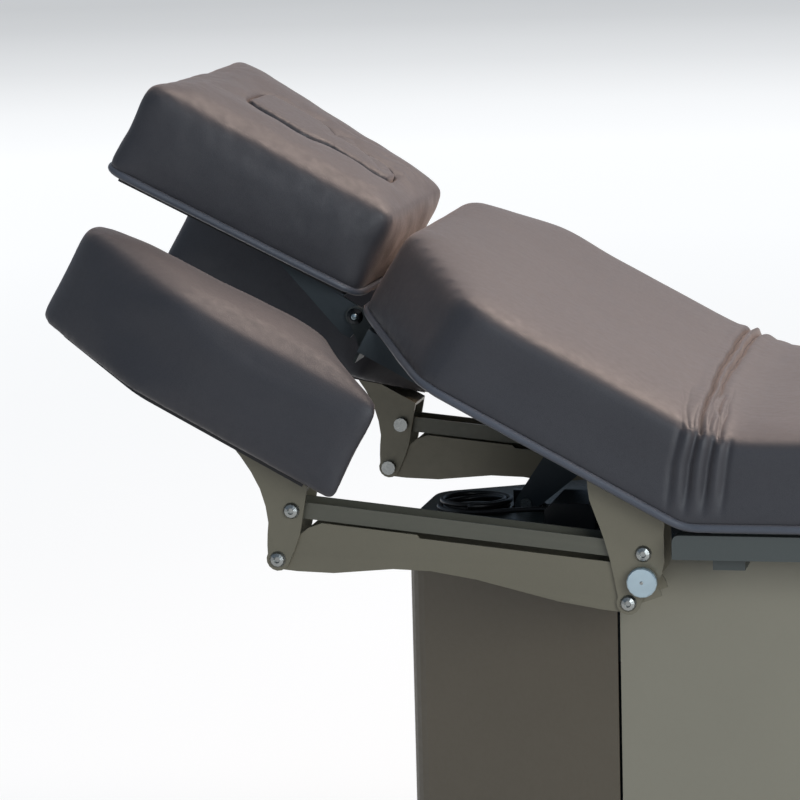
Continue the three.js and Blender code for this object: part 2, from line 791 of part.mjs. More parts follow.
// Arm linkage: two brackets, two bars and four bolts on each side
const linkX = linkSpacing * Math.sin(linkLean);
const linkZ = linkSpacing * Math.cos(linkLean);
const upperBase = { x: -basePivotX, z: -basePivotZ };
const lowerBase = { x: upperBase.x + linkX, z: upperBase.z - linkZ };
const barRunX = barLength * Math.cos(armDrop);
const barRunZ = barLength * Math.sin(armDrop);
const upperHead = { x: upperBase.x - barRunX, z: upperBase.z - barRunZ };
const bracketTop = padRise - deckThickness - 2 * seam;
const armBracketTop = -armPadBase - armBoard - 2 * seam;
const pivotHole = boltRadius + pivotPlay;

function smoothEdge(shape, points) {
  const from = shape.currentPoint.clone();
  const curve = new THREE.SplineCurve([from, ...points]);
  for (const point of curve.getPoints(edgeSteps).slice(1)) shape.lineTo(point.x, point.y);
}

// A bracket is a plate folded into two cheeks under a top flange
function foldedBracket(shape, top) {
  const room = bracketWidth - 2 * bracketPlate;
  const span = 2 * barLength;
  const cavity = block(-span, span, -room / 2, room / 2, -span, top - bracketPlate);
  return cutBy(solid(sidePlate(shape, bracketWidth)), cavity);
}

// Shares of the bracket's top width and of its height, from the upper right corner
const baseTopWidth = 110;
const baseTopRight = 36;
const baseLeftShares = [[0.86, 0.2], [0.6, 0.42], [0.33, 0.68]];
const baseRightShares = [[0.2, 0.2], [0.25, 0.5]];

function baseBracketShape() {
  const right = -baseTopRight;
  const height = bracketTop - lowerBase.z;
  const shape = new THREE.Shape();
  shape.moveTo(right, bracketTop);
  shape.lineTo(right - baseTopWidth, bracketTop);
  smoothEdge(shape, [
    ...baseLeftShares.map(([across, down]) => new THREE.Vector2(
      right - baseTopWidth * across, bracketTop - height * down,
    )),
    new THREE.Vector2(lowerBase.x - bossRadius, lowerBase.z),
  ]);
  shape.absarc(lowerBase.x, lowerBase.z, bossRadius, halfTurn, 2 * halfTurn, false);
  smoothEdge(shape, [
    ...baseRightShares.map(([across, up]) => new THREE.Vector2(
      right + baseTopWidth * across, lowerBase.z + height * up,
    )),
    new THREE.Vector2(right + boltRadius, bracketTop - bossRadius),
  ]);
  shape.holes.push(circleHole(upperBase.x, upperBase.z, pivotHole), circleHole(lowerBase.x, lowerBase.z, pivotHole));
  return shape;
}

function makeBaseBracket(name, side) {
  const bracket = cutBy(foldedBracket(baseBracketShape(), bracketTop),
    crossRod(studRadius + pivotPlay, bracketWidth / 2, -knobX, -knobZ, side * bracketWidth / 2, coarse));
  const mesh = node(`arm_base_bracket_${name}`, geometryOf(bracket), olivePaint, back);
  mesh.position.y = side * armPlane;
}

// Head bracket in the frame of its upper pivot
const headTopLeft = 108;
const headTopRight = 4;
const headLeftShares = [[0.78, 0.14], [0.45, 0.35], [0.2, 0.62], [0.1, 0.83]];
const headRightShares = [[0.7, 0.3], [0.9, 0.62]];

function headBracketShape(top) {
  const lower = { x: linkX, z: -linkZ };
  const height = top - lower.z;
  const shape = new THREE.Shape();
  shape.moveTo(headTopRight, top);
  shape.lineTo(-headTopLeft, top);
  smoothEdge(shape, [
    ...headLeftShares.map(([out, down]) => new THREE.Vector2(
      lower.x - bossRadius - (headTopLeft - bossRadius + linkX) * out * 0.9, top - height * down,
    )),
    new THREE.Vector2(lower.x - bossRadius, lower.z),
  ]);
  shape.absarc(lower.x, lower.z, bossRadius, halfTurn, 2 * halfTurn, false);
  smoothEdge(shape, [
    ...headRightShares.map(([, down]) => down).reverse().map((down) => new THREE.Vector2(
      headTopRight + (lower.x + bossRadius - headTopRight) * down * 1.35, top - height * down,
    )),
    new THREE.Vector2(headTopRight, top),
  ]);
  shape.holes.push(circleHole(0, 0, pivotHole), circleHole(lower.x, lower.z, pivotHole));
  return shape;
}

// Lower bar in the frame of its base pivot: a channel with an arched belly, open at the top
function lowerBarShape() {
  const at = (share) => -barLength * share;
  const shape = new THREE.Shape();
  shape.moveTo(0, -barBoss);
  shape.lineTo(at(bellyShares.out), -barBoss);
  shape.bezierCurveTo(at(bellyShares.pullA), -barBoss, at(bellyShares.pullB), barArch, at(bellyShares.crest), barArch);
  shape.bezierCurveTo(at(bellyShares.pullC), barArch, at(bellyShares.pullD), -barBoss, at(bellyShares.end), -barBoss);
  shape.lineTo(-barLength, -barBoss);
  shape.absarc(-barLength, 0, barBoss, 3 * quarterTurn, 1.6 * quarterTurn, true);
  shape.lineTo(-barSlopeEnd - barBoss, barNotchTop - barBoss);
  shape.lineTo(-barSlopeEnd, barNotchTop);
  shape.lineTo(-barSlopeStart, barTop);
  shape.lineTo(-barReliefEnd, barTop);
  shape.lineTo(-barReliefEnd + barRelief, barTop - barRelief);
  shape.lineTo(-barLobe / 2, barTop - barRelief);
  shape.absarc(0, 0, barLobe, 1.2 * quarterTurn, 0.2 * quarterTurn, true);
  shape.absarc(0, 0, barBoss, 0, -quarterTurn, true);
  shape.holes.push(circleHole(0, 0, pivotHole), circleHole(-barLength, 0, pivotHole));
  return shape;
}

function channelRoom() {
  const at = (share) => -barLength * share;
  const low = -barBoss + lowerBarPlate;
  const high = barArch + lowerBarPlate;
  const far = barLength + barLobe;
  const shape = new THREE.Shape();
  shape.moveTo(barLobe + overrun, -2 * barBoss);
  shape.lineTo(-webStart, -2 * barBoss);
  shape.lineTo(-webStart, low);
  shape.bezierCurveTo(at(bellyShares.pullA), low, at(bellyShares.pullB), high, at(bellyShares.crest), high);
  shape.bezierCurveTo(at(bellyShares.pullC), high, at(bellyShares.pullD), low, -webEnd, low);
  shape.lineTo(-webEnd, -2 * barBoss);
  shape.lineTo(-far, -2 * barBoss);
  shape.lineTo(-far, barTop + overrun);
  shape.lineTo(barLobe + overrun, barTop + overrun);
  return shape;
}

// Curved slot round the base pivot with round ends, in the outer cheek only
function studSlot(outward) {
  const knob = new THREE.Vector2(-knobX - lowerBase.x, -knobZ - lowerBase.z);
  const middle = knob.angle() - armDrop;
  const radius = knob.length();
  const half = studRadius + pivotPlay;
  const points = [];
  const add = (distance, angle) => points.push(
    new THREE.Vector2(distance * Math.cos(angle), distance * Math.sin(angle)),
  );
  for (let step = -slotSteps; step <= slotSteps; step += 1) {
    add(radius + half, middle + slotSwing * (step / slotSteps));
  }
  for (let step = 1; step < slotSteps; step += 1) {
    const turn = (step / slotSteps) * halfTurn;
    add(radius + half * Math.cos(turn), middle + slotSwing + (half * Math.sin(turn)) / radius);
  }
  for (let step = slotSteps; step >= -slotSteps; step -= 1) {
    add(radius - half, middle + slotSwing * (step / slotSteps));
  }
  for (let step = slotSteps - 1; step > 0; step -= 1) {
    const turn = (step / slotSteps) * halfTurn;
    add(radius + half * Math.cos(turn), middle - slotSwing - (half * Math.sin(turn)) / radius);
  }
  return sidePlate(new THREE.Shape(points), lowerBarWidth, outward * lowerBarWidth / 2);
}

function lowerBar(outward) {
  const outer = solid(sidePlate(lowerBarShape(), lowerBarWidth));
  const room = sidePlate(channelRoom(), lowerBarWidth - 2 * lowerBarPlate);
  return geometryOf(cutBy(outer, room, studSlot(outward)));
}

// Upper bar in the frame of its base pivot: a shallow channel with round ends
function upperBar() {
  const shape = new THREE.Shape();
  shape.moveTo(0, -upperBarHalf);
  shape.lineTo(-barLength, -upperBarHalf);
  shape.absarc(-barLength, 0, upperBarHalf, 3 * quarterTurn, quarterTurn, true);
  shape.lineTo(0, upperBarHalf);
  shape.absarc(0, 0, upperBarHalf, quarterTurn, -quarterTurn, true);
  shape.holes.push(circleHole(0, 0, pivotHole), circleHole(-barLength, 0, pivotHole));
  const span = barLength + 2 * upperBarHalf;
  const room = upperBarWidth / 2 - upperBarPlate;
  const cavity = block(-span, span, -room, room, -upperBarHalf + upperBarPlate, 2 * upperBarHalf);
  return geometryOf(cutBy(solid(sidePlate(shape, upperBarWidth)), cavity));
}

// Button-head bolt with its nut, head on the outer side; shares of the head's radius and height
const buttonShares = [[1, 0.2], [0.8, 0.75], [0.4, 1], [0.33, 0.5], [0, 0.5]];

function boltProfile() {
  const grip = bracketWidth / 2 + seam;
  return [
    [0, -grip - nutHeight], [nutRadius, -grip - nutHeight], [nutRadius, -grip], [boltRadius, -grip],
    [boltRadius, grip], [boltHeadRadius, grip],
    ...buttonShares.map(([out, up]) => [boltHeadRadius * out, grip + boltHeadHeight * up]),
  ];
}

function addBolt(name, parent, x, z, side) {
  const mesh = node(name, turned(boltProfile()), brightSteel, parent);
  mesh.position.set(x, side * armPlane, z);
  mesh.rotation.z = side > 0 ? 0 : halfTurn;
}

function clampKnob() {
  const face = bracketWidth / 2 + seam;
  const disc = face + knobNeck;
  const clamp = lowerBarWidth / 2 - lowerBarPlate - seam;
  return turned([
    [0, clamp - clampThickness], [clampRadius, clamp - clampThickness], [clampRadius, clamp],
    [studRadius, clamp], [studRadius, face], [knobNeckRadius, face], [knobNeckRadius, disc],
    [knobRadius, disc], [knobRadius, disc + knobThickness - knobRim],
    [knobRadius - knobRim, disc + knobThickness], [0, disc + knobThickness],
  ], fine);
}

// Arm pad outline on the far side; the near side mirrors it
function armCorners() {
  const widen = (headrestHeadHalf - headrestBackHalf) / headrestLength;
  const headrestStart = headrestPivotX + headrestGap;
  const innerAt = (x) => headrestBackHalf + armInnerGap + widen * (x - headrestStart);
  const chamfer = (backLength - backShoulder) / (padHalf - backNeckHalf);
  const tip = backShoulder + armPadGap;
  const innerBack = (tip + chamfer * (armPadOuter - innerAt(headrestStart)));
  return [
    [-innerBack, innerAt(innerBack), armPadRadius], [-tip, armPadOuter, armTipRadius],
    [-armPadShoulder, armPadOuter, armShoulderRadius], [-armPadHead, armPadNose, armHeadRadius],
    [-armPadHead, innerAt(armPadHead), armPadRadius],
  ];
}

function armOutline(side, inset) {
  const points = rounded(insetCorners(armCorners(), inset));
  return side > 0 ? points : mirrored(points);
}

function makeArm(name, side) {
  makeBaseBracket(name, side);
  addBolt(`arm_bolt_base_upper_${name}`, back, upperBase.x, upperBase.z, side);
  addBolt(`arm_bolt_base_lower_${name}`, back, lowerBase.x, lowerBase.z, side);
  const clamp = node(`arm_clamp_knob_${name}`, clampKnob(), brightSteel, back);
  clamp.position.set(-knobX, side * armPlane, -knobZ);
  clamp.rotation.z = side > 0 ? 0 : halfTurn;
  const upper = groupAt(back, upperBase.x, side * armPlane, upperBase.z, -armDrop);
  node(`upper_arm_bar_${name}`, upperBar(), olivePaint, upper);
  const lower = groupAt(back, lowerBase.x, side * armPlane, lowerBase.z, -armDrop);
  node(`lower_arm_bar_${name}`, lowerBar(side), olivePaint, lower);
  const head = groupAt(back, upperHead.x, side * armPlane, upperHead.z);
  const top = armBracketTop - upperHead.z;
  node(`arm_bracket_${name}`, geometryOf(foldedBracket(headBracketShape(top), top)), olivePaint, head);
  addBolt(`arm_bolt_head_upper_${name}`, back, upperHead.x, upperHead.z, side);
  addBolt(`arm_bolt_head_lower_${name}`, back, upperHead.x + linkX, upperHead.z - linkZ, side);
  const boardTop = -armPadBase - seam;
  const board = flatPlate(armOutline(side, armBoardInset), boardTop - armBoard, boardTop);
  node(`arm_board_${name}`, board, darkBoard, back);
  const pad = cushion(armOutline(side, 0), -armPadBase, armPadThickness);
  node(`arm_cushion_${name}`, pad, leather, back);
}

// Actuator of the back
function makeActuator() {
  const angle = Math.atan2(leverDrop, leverReach);
  const reach = Math.hypot(leverReach, leverDrop);
  const rodPin = { x: -reach * Math.cos(backAngle - angle), z: reach * Math.sin(backAngle - angle) };
  const run = { x: housingPinX - rodPin.x, z: rodPin.z - housingPinZ };
  const slope = Math.atan2(run.z, run.x);
  const length = Math.hypot(run.x, run.z);
  const holder = groupAt(lift, housingPinX, 0, housingPinZ, slope);
  node('actuator_housing', actuatorHousing(), blackPlastic, holder);
  const rodEnd = groupAt(holder, -length, 0, 0);
  node('actuator_rod', actuatorRod(), brightSteel, rodEnd);
  addClevisPin('actuator_pin_lower', lift, housingPinX, housingPinZ);
  addClevisPin('actuator_pin_upper', back, -leverReach, -leverDrop);
}

function lengthwise(radius, from, to, z = 0, sidesAround = fine) {
  const geometry = new THREE.CylinderGeometry(radius, radius, to - from, sidesAround);
  return geometry.rotateZ(quarterTurn).translate(-(from + to) / 2, 0, z);
}

function actuatorHousing() {
  const gearEnd = gearReach + gearLength;
  const body = joined(
    crossRod(eyeRadius, 2 * eyeHalf, 0, 0),
    block(-gearReach - lap, 0, -eyeHalf, eyeHalf, -eyeRadius / 2, eyeRadius / 2),
    block(-gearEnd, -gearReach, -gearHalf, gearHalf, -gearDepth, gearHalf),
    lengthwise(tubeRadius, gearEnd - lap, tubeReach),
    lengthwise(motorRadius, gearEnd - lap, gearEnd + motorLength, -gearDepth + motorRadius + lap),
  );
  return geometryOf(cutBy(body,
    crossRod(actuatorPinRadius + pivotPlay, 2 * eyeHalf + overrun, 0, 0),
    lengthwise(rodRadius + 2 * seam, gearEnd - overrun, tubeReach + overrun)));
}

function actuatorRod() {
  const body = joined(
    crossRod(eyeRadius, 2 * eyeHalf, 0, 0),
    lengthwise(rodRadius, -rodLength, 0),
  );
  return geometryOf(cutBy(body, crossRod(actuatorPinRadius + pivotPlay, 2 * eyeHalf + overrun, 0, 0)));
}

function addClevisPin(name, parent, x, z) {
  const reach = clevisPlane + clevisPlate / 2 + seam;
  const cap = actuatorPinRadius + lap;
  const pin = turned([
    [0, -reach - lap], [cap, -reach - lap], [cap, -reach], [actuatorPinRadius, -reach],
    [actuatorPinRadius, reach], [cap, reach], [cap, reach + lap], [0, reach + lap],
  ]);
  node(name, pin, brightSteel, parent).position.set(x, 0, z);
}

// Cabinet: two noses and two sides that ride on the lift, and the fixed shell inside
function ring(inset, wall, z0, z1) {
  const outer = flatPlate(rounded(insetCorners(cabinetCorners(), inset)), z0, z1);
  const inner = flatPlate(rounded(insetCorners(cabinetCorners(), inset + wall)), z0 - overrun, z1 + overrun);
  return cutBy(solid(outer), inner);
}

function makeCabinet() {
  const top = hingeHeight + beamTop - seam;
  const skin = ring(0, sheet, cabinetBottom, top).add(ring(sheet / 2, flange, top - sheet, top));
  const headEdge = cabinetStart;
  const footEdge = cabinetEnd;
  const low = cabinetBottom - overrun;
  const wide = 2 * cabinetHalf;
  const between = [headEdge + panelGap / 2, footEdge - panelGap / 2];
  const parts = {
    cabinet_nose_head: block(headEdge - wide, headEdge - panelGap / 2, -wide, wide, low, top + overrun),
    cabinet_nose_foot: block(footEdge + panelGap / 2, footEdge + wide, -wide, wide, low, top + overrun),
    cabinet_side_near: block(...between, -wide, 0, low, top + overrun),
    cabinet_side_far: block(...between, 0, wide, low, top + overrun),
  };
  for (const [name, region] of Object.entries(parts)) {
    node(name, geometryOf(skin.intersect(solid(region))), cabinetPaint, table);
  }
  node('lower_shell', geometryOf(ring(shellInset, sheet, shellBottom, shellTop)), greyPaint, table);
}

// Base frame, feet and lift columns
function makeBase() {
  const low = footHeight + seam;
  const high = low + baseTube;
  const start = cabinetStart - footSetback;
  const end = cabinetEnd + footSetback;
  const arm = cabinetHalf - shellInset - sheet - seam;
  const pieces = [];
  for (const [, side] of sides) {
    pieces.push(block(start - baseOverhang, end + baseOverhang, side * baseRailPlane - baseTube / 2,
      side * baseRailPlane + baseTube / 2, low, high));
  }
  for (const place of [start, end]) {
    pieces.push(block(place - baseOverhang, place + baseOverhang, -baseRailPlane, baseRailPlane, low, high));
  }
  for (const place of [columnStart, columnStart + columnPitch]) {
    pieces.push(block(place - baseTube / 2, place + baseTube / 2, -arm, arm, low, high));
    pieces.push(block(place - columnOuter / 2, place + columnOuter / 2,
      -columnOuter / 2, columnOuter / 2, high - lap, high + columnPlate));
  }
  node('base_frame', geometryOf(joined(...pieces)), greyPaint, table);
  let number = 1;
  for (const x of [start, end]) {
    for (const [, side] of sides) {
      const foot = node(`levelling_foot_${number}`, levellingFoot(), rubberBlack, table);
      foot.position.set(x, side * baseRailPlane, 0);
      number += 1;
    }
  }
  makeColumns(high + columnPlate + seam);
}

function levellingFoot() {
  const stem = footRadius / 3;
  return turned([
    [0, 0], [footRadius, 0], [footRadius, footPlate / 2], [stem, footPlate], [stem, footHeight], [0, footHeight],
  ], fine).rotateX(quarterTurn);
}

function squareTube(side, wall, z0, z1) {
  const room = side / 2 - wall;
  return cutBy(solid(block(-side / 2, side / 2, -side / 2, side / 2, z0, z1)),
    block(-room, room, -room, room, z0 - overrun, z1 + overrun));
}

function makeColumns(low) {
  const top = hingeHeight + beamBottom - columnPlate - seam;
  const innerSide = columnOuter - 2 * columnWall - 2 * softSeam;
  [columnStart, columnStart + columnPitch].forEach((place, i) => {
    const outer = squareTube(columnOuter, columnWall, low, columnTop);
    node(`lift_column_outer_${i + 1}`, geometryOf(outer), greyPaint, table).position.x = place;
    const inner = squareTube(innerSide, columnWall, columnInnerBottom, top);
    node(`lift_column_inner_${i + 1}`, geometryOf(inner), brightSteel, table).position.x = place;
  });
}

// Control box, cable and socket on the deck over the nose
const noseTopZ = beamTop + noseDeckThickness + seam;

function makeElectrics() {
  const x0 = -boxStart;
  const x1 = -boxStart + boxLength;
  const z1 = noseTopZ + boxHeight;
  const shape = new THREE.Shape(rounded([
    [x0, noseTopZ, 1], [x1, noseTopZ, 1], [x1, z1 - boxChamfer, 1], [x1 - boxChamfer, z1, 1],
    [x0 + boxChamfer, z1, 1], [x0, z1 - boxChamfer, 1],
  ]));
  node('control_box', sidePlate(shape, boxWidth, boxPlane), blackPlastic, lift);
  const path = cablePath(x0);
  console.log('Least gap of the cable to itself, mm:', leastGap(path).toFixed(2));
  node('control_cable', tubeAlong(path), rubberBlack, lift);
  const socketX = coilX + socketGap;
  const socketY = coilY + coilRadius;
  const socket = block(socketX, socketX + socketSide, socketY - socketSide / 3, socketY + socketSide / 2,
    noseTopZ, noseTopZ + socketSide);
  node('cable_socket', socket, blackPlastic, lift);
}

// From the box, in two layers that spiral in and out again, to the socket
function cablePath(boxFace) {
  const low = noseTopZ + cableRadius;
  const rise = cablePitch;
  const points = [];
  const start = new THREE.Vector3(boxFace - seam, glandY, noseTopZ + glandRise);
  const enter = new THREE.Vector3(coilX, coilY - coilRadius, low);
  const lead = new THREE.CubicBezierCurve3(start,
    start.clone().add(new THREE.Vector3(-coilRadius, 0, 0)),
    enter.clone().add(new THREE.Vector3(coilRadius, 0, 0)), enter);
  points.push(...lead.getPoints(coilSteps / 2).slice(0, -1));
  const steps = 2 * coilTurns * coilSteps;
  for (let i = 0; i <= steps; i += 1) {
    const turns = i / coilSteps;
    const inwards = Math.min(turns, 2 * coilTurns - turns);
    const radius = coilRadius - cablePitch * inwards;
    const climb = THREE.MathUtils.smoothstep(turns, coilTurns - 0.25, coilTurns + 0.25);
    const angle = -quarterTurn - turns * 2 * halfTurn;
    points.push(new THREE.Vector3(
      coilX + radius * Math.cos(angle), coilY + radius * Math.sin(angle), low + rise * climb,
    ));
  }
  return points;
}

function leastGap(points) {
  let least = Infinity;
  for (let i = 0; i < points.length; i += 1) {
    for (let j = i + coilSteps / 2; j < points.length; j += 1) {
      least = Math.min(least, points[i].distanceTo(points[j]));
    }
  }
  return least - 2 * cableRadius;
}

function tubeAlong(points) {
  const up = new THREE.Vector3(0, 0, 1);
  const flat = [];
  for (let s = 0; s < cableSides; s += 1) {
    const angle = (s / cableSides) * 2 * halfTurn;
    flat.push(new THREE.Vector2(cableRadius * Math.cos(angle), cableRadius * Math.sin(angle)));
  }
  const rings = points.map((p, i) => {
    const before = points[Math.max(i - 1, 0)];
    const after = points[Math.min(i + 1, points.length - 1)];
    const along = after.clone().sub(before).normalize();
    const across = up.clone().cross(along).normalize();
    const normal = along.clone().cross(across);
    return flat.map((q) => p.clone().addScaledVector(across, q.x).addScaledVector(normal, q.y));
  });
  return loft(rings, flat, flat);
}

makeMainPads();
makeBackFrame();
makeSeatFrame();
makeHingePins();
makeHeadrest();
makeHingePlates();
for (const [name, side] of sides) makeArm(name, side);
makeActuator();
makeCabinet();
makeBase();
makeElectrics();

// Origin on the floor under the middle of the whole part
table.updateMatrixWorld(true);
const extent = new THREE.Box3().setFromObject(table, true);
const centre = extent.getCenter(new THREE.Vector3());
table.position.set(-centre.x, -centre.y, 0);

const root = new THREE.Group();
root.add(table);
export default root;
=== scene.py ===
# Spa treatment table: pads, piping, finishes, floor, light and camera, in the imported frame, in metres
import bpy
import bmesh
import math
import json
import numpy as np
from mathutils import Vector, Matrix
from mathutils.kdtree import KDTree
import mathutils.noise


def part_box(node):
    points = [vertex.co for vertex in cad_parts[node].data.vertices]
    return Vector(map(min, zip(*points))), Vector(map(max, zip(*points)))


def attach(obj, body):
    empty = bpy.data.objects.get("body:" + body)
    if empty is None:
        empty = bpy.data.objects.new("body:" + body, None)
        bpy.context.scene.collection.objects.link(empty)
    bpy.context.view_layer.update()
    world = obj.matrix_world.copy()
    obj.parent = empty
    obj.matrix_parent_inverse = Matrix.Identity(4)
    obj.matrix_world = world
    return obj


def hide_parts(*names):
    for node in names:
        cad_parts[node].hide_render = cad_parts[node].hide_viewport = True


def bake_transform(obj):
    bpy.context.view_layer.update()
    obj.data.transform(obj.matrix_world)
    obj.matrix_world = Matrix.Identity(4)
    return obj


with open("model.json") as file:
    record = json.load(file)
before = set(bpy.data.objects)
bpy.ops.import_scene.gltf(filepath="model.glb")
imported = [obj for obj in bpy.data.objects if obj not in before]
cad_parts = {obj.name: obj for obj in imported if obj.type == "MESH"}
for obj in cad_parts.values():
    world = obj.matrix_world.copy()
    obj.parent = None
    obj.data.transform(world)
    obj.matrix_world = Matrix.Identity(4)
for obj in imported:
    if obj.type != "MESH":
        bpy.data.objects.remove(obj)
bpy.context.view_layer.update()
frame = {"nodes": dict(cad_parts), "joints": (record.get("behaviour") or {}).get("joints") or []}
NODES = frame["nodes"]
JOINTS = {j["name"]: j for j in frame["joints"]}
SCENE = bpy.context.scene
SIDES = (("near", -1.0), ("far", 1.0))

# The back's own frame: its slope, hinge and headrest pivot, the way up from its face, the way to the head
TILT = math.radians(28.5)
CT, ST = math.cos(TILT), math.sin(TILT)
HINGE = Vector(JOINTS["back_tilt"]["pos_m"])
PIVOT = Vector(JOINTS["headrest_tilt"]["pos_m"])
BACK_UP = (ST, 0.0, CT)
HEADWARD = (-CT, 0.0, ST)
UP = (0.0, 0.0, 1.0)


def to_back(points, origin=HINGE):
    """Places along the slope towards the foot end, across, and up from it, counted from the origin."""
    x, z = points[:, 0] - origin.x, points[:, 2] - origin.z
    return np.stack([x * CT - z * ST, points[:, 1], x * ST + z * CT], 1)


# Camera, fitted to corners of the table that the photo shows
SENSOR_WIDTH = 36.0
FOCAL_LENGTH = 162.9
CAMERA_PLACE = (HINGE.x + 0.62613, -4.7087, 1.473)
CAMERA_RIGHT = Vector((0.9765, 0.2139, -0.0255)).normalized()
CAMERA_AHEAD = Vector((-0.2152, 0.9634, -0.1596)).normalized()
CLIP_END = 250.0  # beyond the rim of the floor


def place_camera():
    data = bpy.data.cameras.new("camera")
    data.sensor_width = SENSOR_WIDTH
    data.lens = FOCAL_LENGTH
    data.clip_end = CLIP_END
    camera = bpy.data.objects.new("camera", data)
    SCENE.collection.objects.link(camera)
    up = CAMERA_RIGHT.cross(CAMERA_AHEAD).normalized()
    right = CAMERA_AHEAD.cross(up)
    turn = Matrix((right, up, -CAMERA_AHEAD)).transposed().to_4x4()
    camera.matrix_world = Matrix.Translation(CAMERA_PLACE) @ turn
    SCENE.camera = camera


place_camera()


# Materials
def linear(r, g, b):
    """Linear colour of a screen colour given in steps of 255."""
    out = []
    for value in (r, g, b):
        c = value / 255.0
        out.append(c / 12.92 if c <= 0.04045 else ((c + 0.055) / 1.055) ** 2.4)
    return tuple(out)


def tint(colour, k):
    return tuple(min(max(c * k, 0.0), 1.0) for c in colour)


def grey(value):
    return (value, value, value)


def new_material(name):
    material = bpy.data.materials.new(name)
    material.use_nodes = True
    tree = material.node_tree
    return material, tree, tree.nodes["Principled BSDF"]


def assign(obj, material):
    obj.data.materials.clear()
    obj.data.materials.append(material)


def add(tree, kind, **settings):
    node = tree.nodes.new(kind)
    for key, value in settings.items():
        setattr(node, key, value)
    return node


def set_sockets(node, values):
    for socket, value in values.items():
        node.inputs[socket].default_value = value


def own_place(tree):
    """Place on the object itself, so that textures stay put when it moves."""
    return add(tree, "ShaderNodeTexCoord").outputs["Object"]


def noise(tree, place, scale, detail, rough=0.55, distortion=0.0):
    """Noise whose scale counts its features in a metre."""
    node = add(tree, "ShaderNodeTexNoise")
    set_sockets(node, {"Scale": scale, "Detail": detail, "Roughness": rough, "Distortion": distortion})
    tree.links.new(place, node.inputs["Vector"])
    return node.outputs["Fac"]


def ramp(tree, source, stops):
    node = add(tree, "ShaderNodeValToRGB")
    while len(node.color_ramp.elements) < len(stops):
        node.color_ramp.elements.new(0.5)
    for element, (at, colour) in zip(node.color_ramp.elements, stops):
        element.position = at
        element.color = (*colour, 1.0)
    tree.links.new(source, node.inputs["Fac"])
    return node.outputs["Color"]


def bump(tree, source, strength, distance, before=None):
    """Bump of a height over an earlier bump."""
    node = add(tree, "ShaderNodeBump")
    set_sockets(node, {"Strength": strength, "Distance": distance})
    tree.links.new(source, node.inputs["Height"])
    if before is not None:
        tree.links.new(before, node.inputs["Normal"])
    return node.outputs["Normal"]


def multiply(tree, first, second, share):
    """One colour times another, as far as the share goes."""
    node = add(tree, "ShaderNodeMix", data_type="RGBA", blend_type="MULTIPLY")
    node.inputs[0].default_value = share
    tree.links.new(first, node.inputs[6])
    tree.links.new(second, node.inputs[7])
    return node.outputs[2]


def worn_edges(tree, colour, bare, wear):
    """The colour, mixed with a bare one along edges, as far as the wear goes."""
    edges = add(tree, "ShaderNodeNewGeometry").outputs["Pointiness"]
    rim = ramp(tree, edges, ((0.53, grey(0)), (0.62, grey(wear))))
    node = add(tree, "ShaderNodeMix", data_type="RGBA", blend_type="MIX")
    node.inputs[7].default_value = (*bare, 1.0)
    tree.links.new(rim, node.inputs[0])
    tree.links.new(colour, node.inputs[6])
    return node.outputs[2]


def blotches(tree, source, colour, dark, light):
    """The colour, between two shades of itself that follow a noise."""
    return ramp(tree, source, ((0.3, tint(colour, dark)), (0.7, tint(colour, light))))


def dress(tree, shader, colour, normal):
    tree.links.new(colour, shader.inputs["Base Color"])
    tree.links.new(normal, shader.inputs["Normal"])


def uneven_gloss(tree, shader, source, low, high, full=0.7):
    """Roughness from low to high, which it reaches where the noise is `full`."""
    gloss = ramp(tree, source, ((0.3, grey(low)), (full, grey(high))))
    tree.links.new(gloss, shader.inputs["Roughness"])


def leather(name, colour, rough=0.52, grain=1.0):
    """Imitation leather with fine pores, a soft unevenness and a warm sheen."""
    material, tree, shader = new_material(name)
    place = own_place(tree)
    cells = add(tree, "ShaderNodeTexVoronoi", feature="DISTANCE_TO_EDGE")
    set_sockets(cells, {"Scale": 620.0, "Randomness": 0.9})
    tree.links.new(place, cells.inputs["Vector"])
    pores = ramp(tree, cells.outputs["Distance"], ((0.0, grey(0)), (0.25, grey(1))))
    soft = noise(tree, place, 90.0, 3.0)
    wide = noise(tree, place, 4.5, 3.0)
    tone = blotches(tree, wide, colour, 0.94, 1.05)
    uneven_gloss(tree, shader, soft, rough - 0.06, rough + 0.07)
    dents = bump(tree, soft, 0.18, 0.0006)
    grains = bump(tree, pores, 0.22 * grain, 0.00025, dents)
    dress(tree, shader, multiply(tree, tone, pores, 0.22 * grain), grains)
    set_sockets(shader, {"Specular IOR Level": 0.42, "Sheen Weight": 0.25, "Sheen Roughness": 0.45})
    set_sockets(shader, {"Sheen Tint": (1.0, 0.80, 0.70, 1.0)})
    return material


def paint(name, colour, rough=0.42, metallic=0.25, flake=1.0, wear=0.5):
    """Powder paint with fine flakes and orange peel, a little lighter where edges are worn."""
    material, tree, shader = new_material(name)
    place = own_place(tree)
    fine = noise(tree, place, 900.0, 2.0)
    peel = noise(tree, place, 160.0, 2.0)
    wide = noise(tree, place, 3.0, 4.0)
    tone = blotches(tree, wide, colour, 0.93, 1.06)
    flakes = ramp(tree, fine, ((0.42, grey(0.9)), (0.62, grey(1))))
    flaked = multiply(tree, tone, flakes, 0.5 * flake)
    worn = worn_edges(tree, flaked, tint(colour, 1.5), wear)
    uneven_gloss(tree, shader, peel, rough - 0.05, rough + 0.06)
    skin = bump(tree, peel, 0.08, 0.0003)
    dress(tree, shader, worn, bump(tree, fine, 0.05, 0.0001, skin))
    set_sockets(shader, {"Metallic": metallic})
    return material


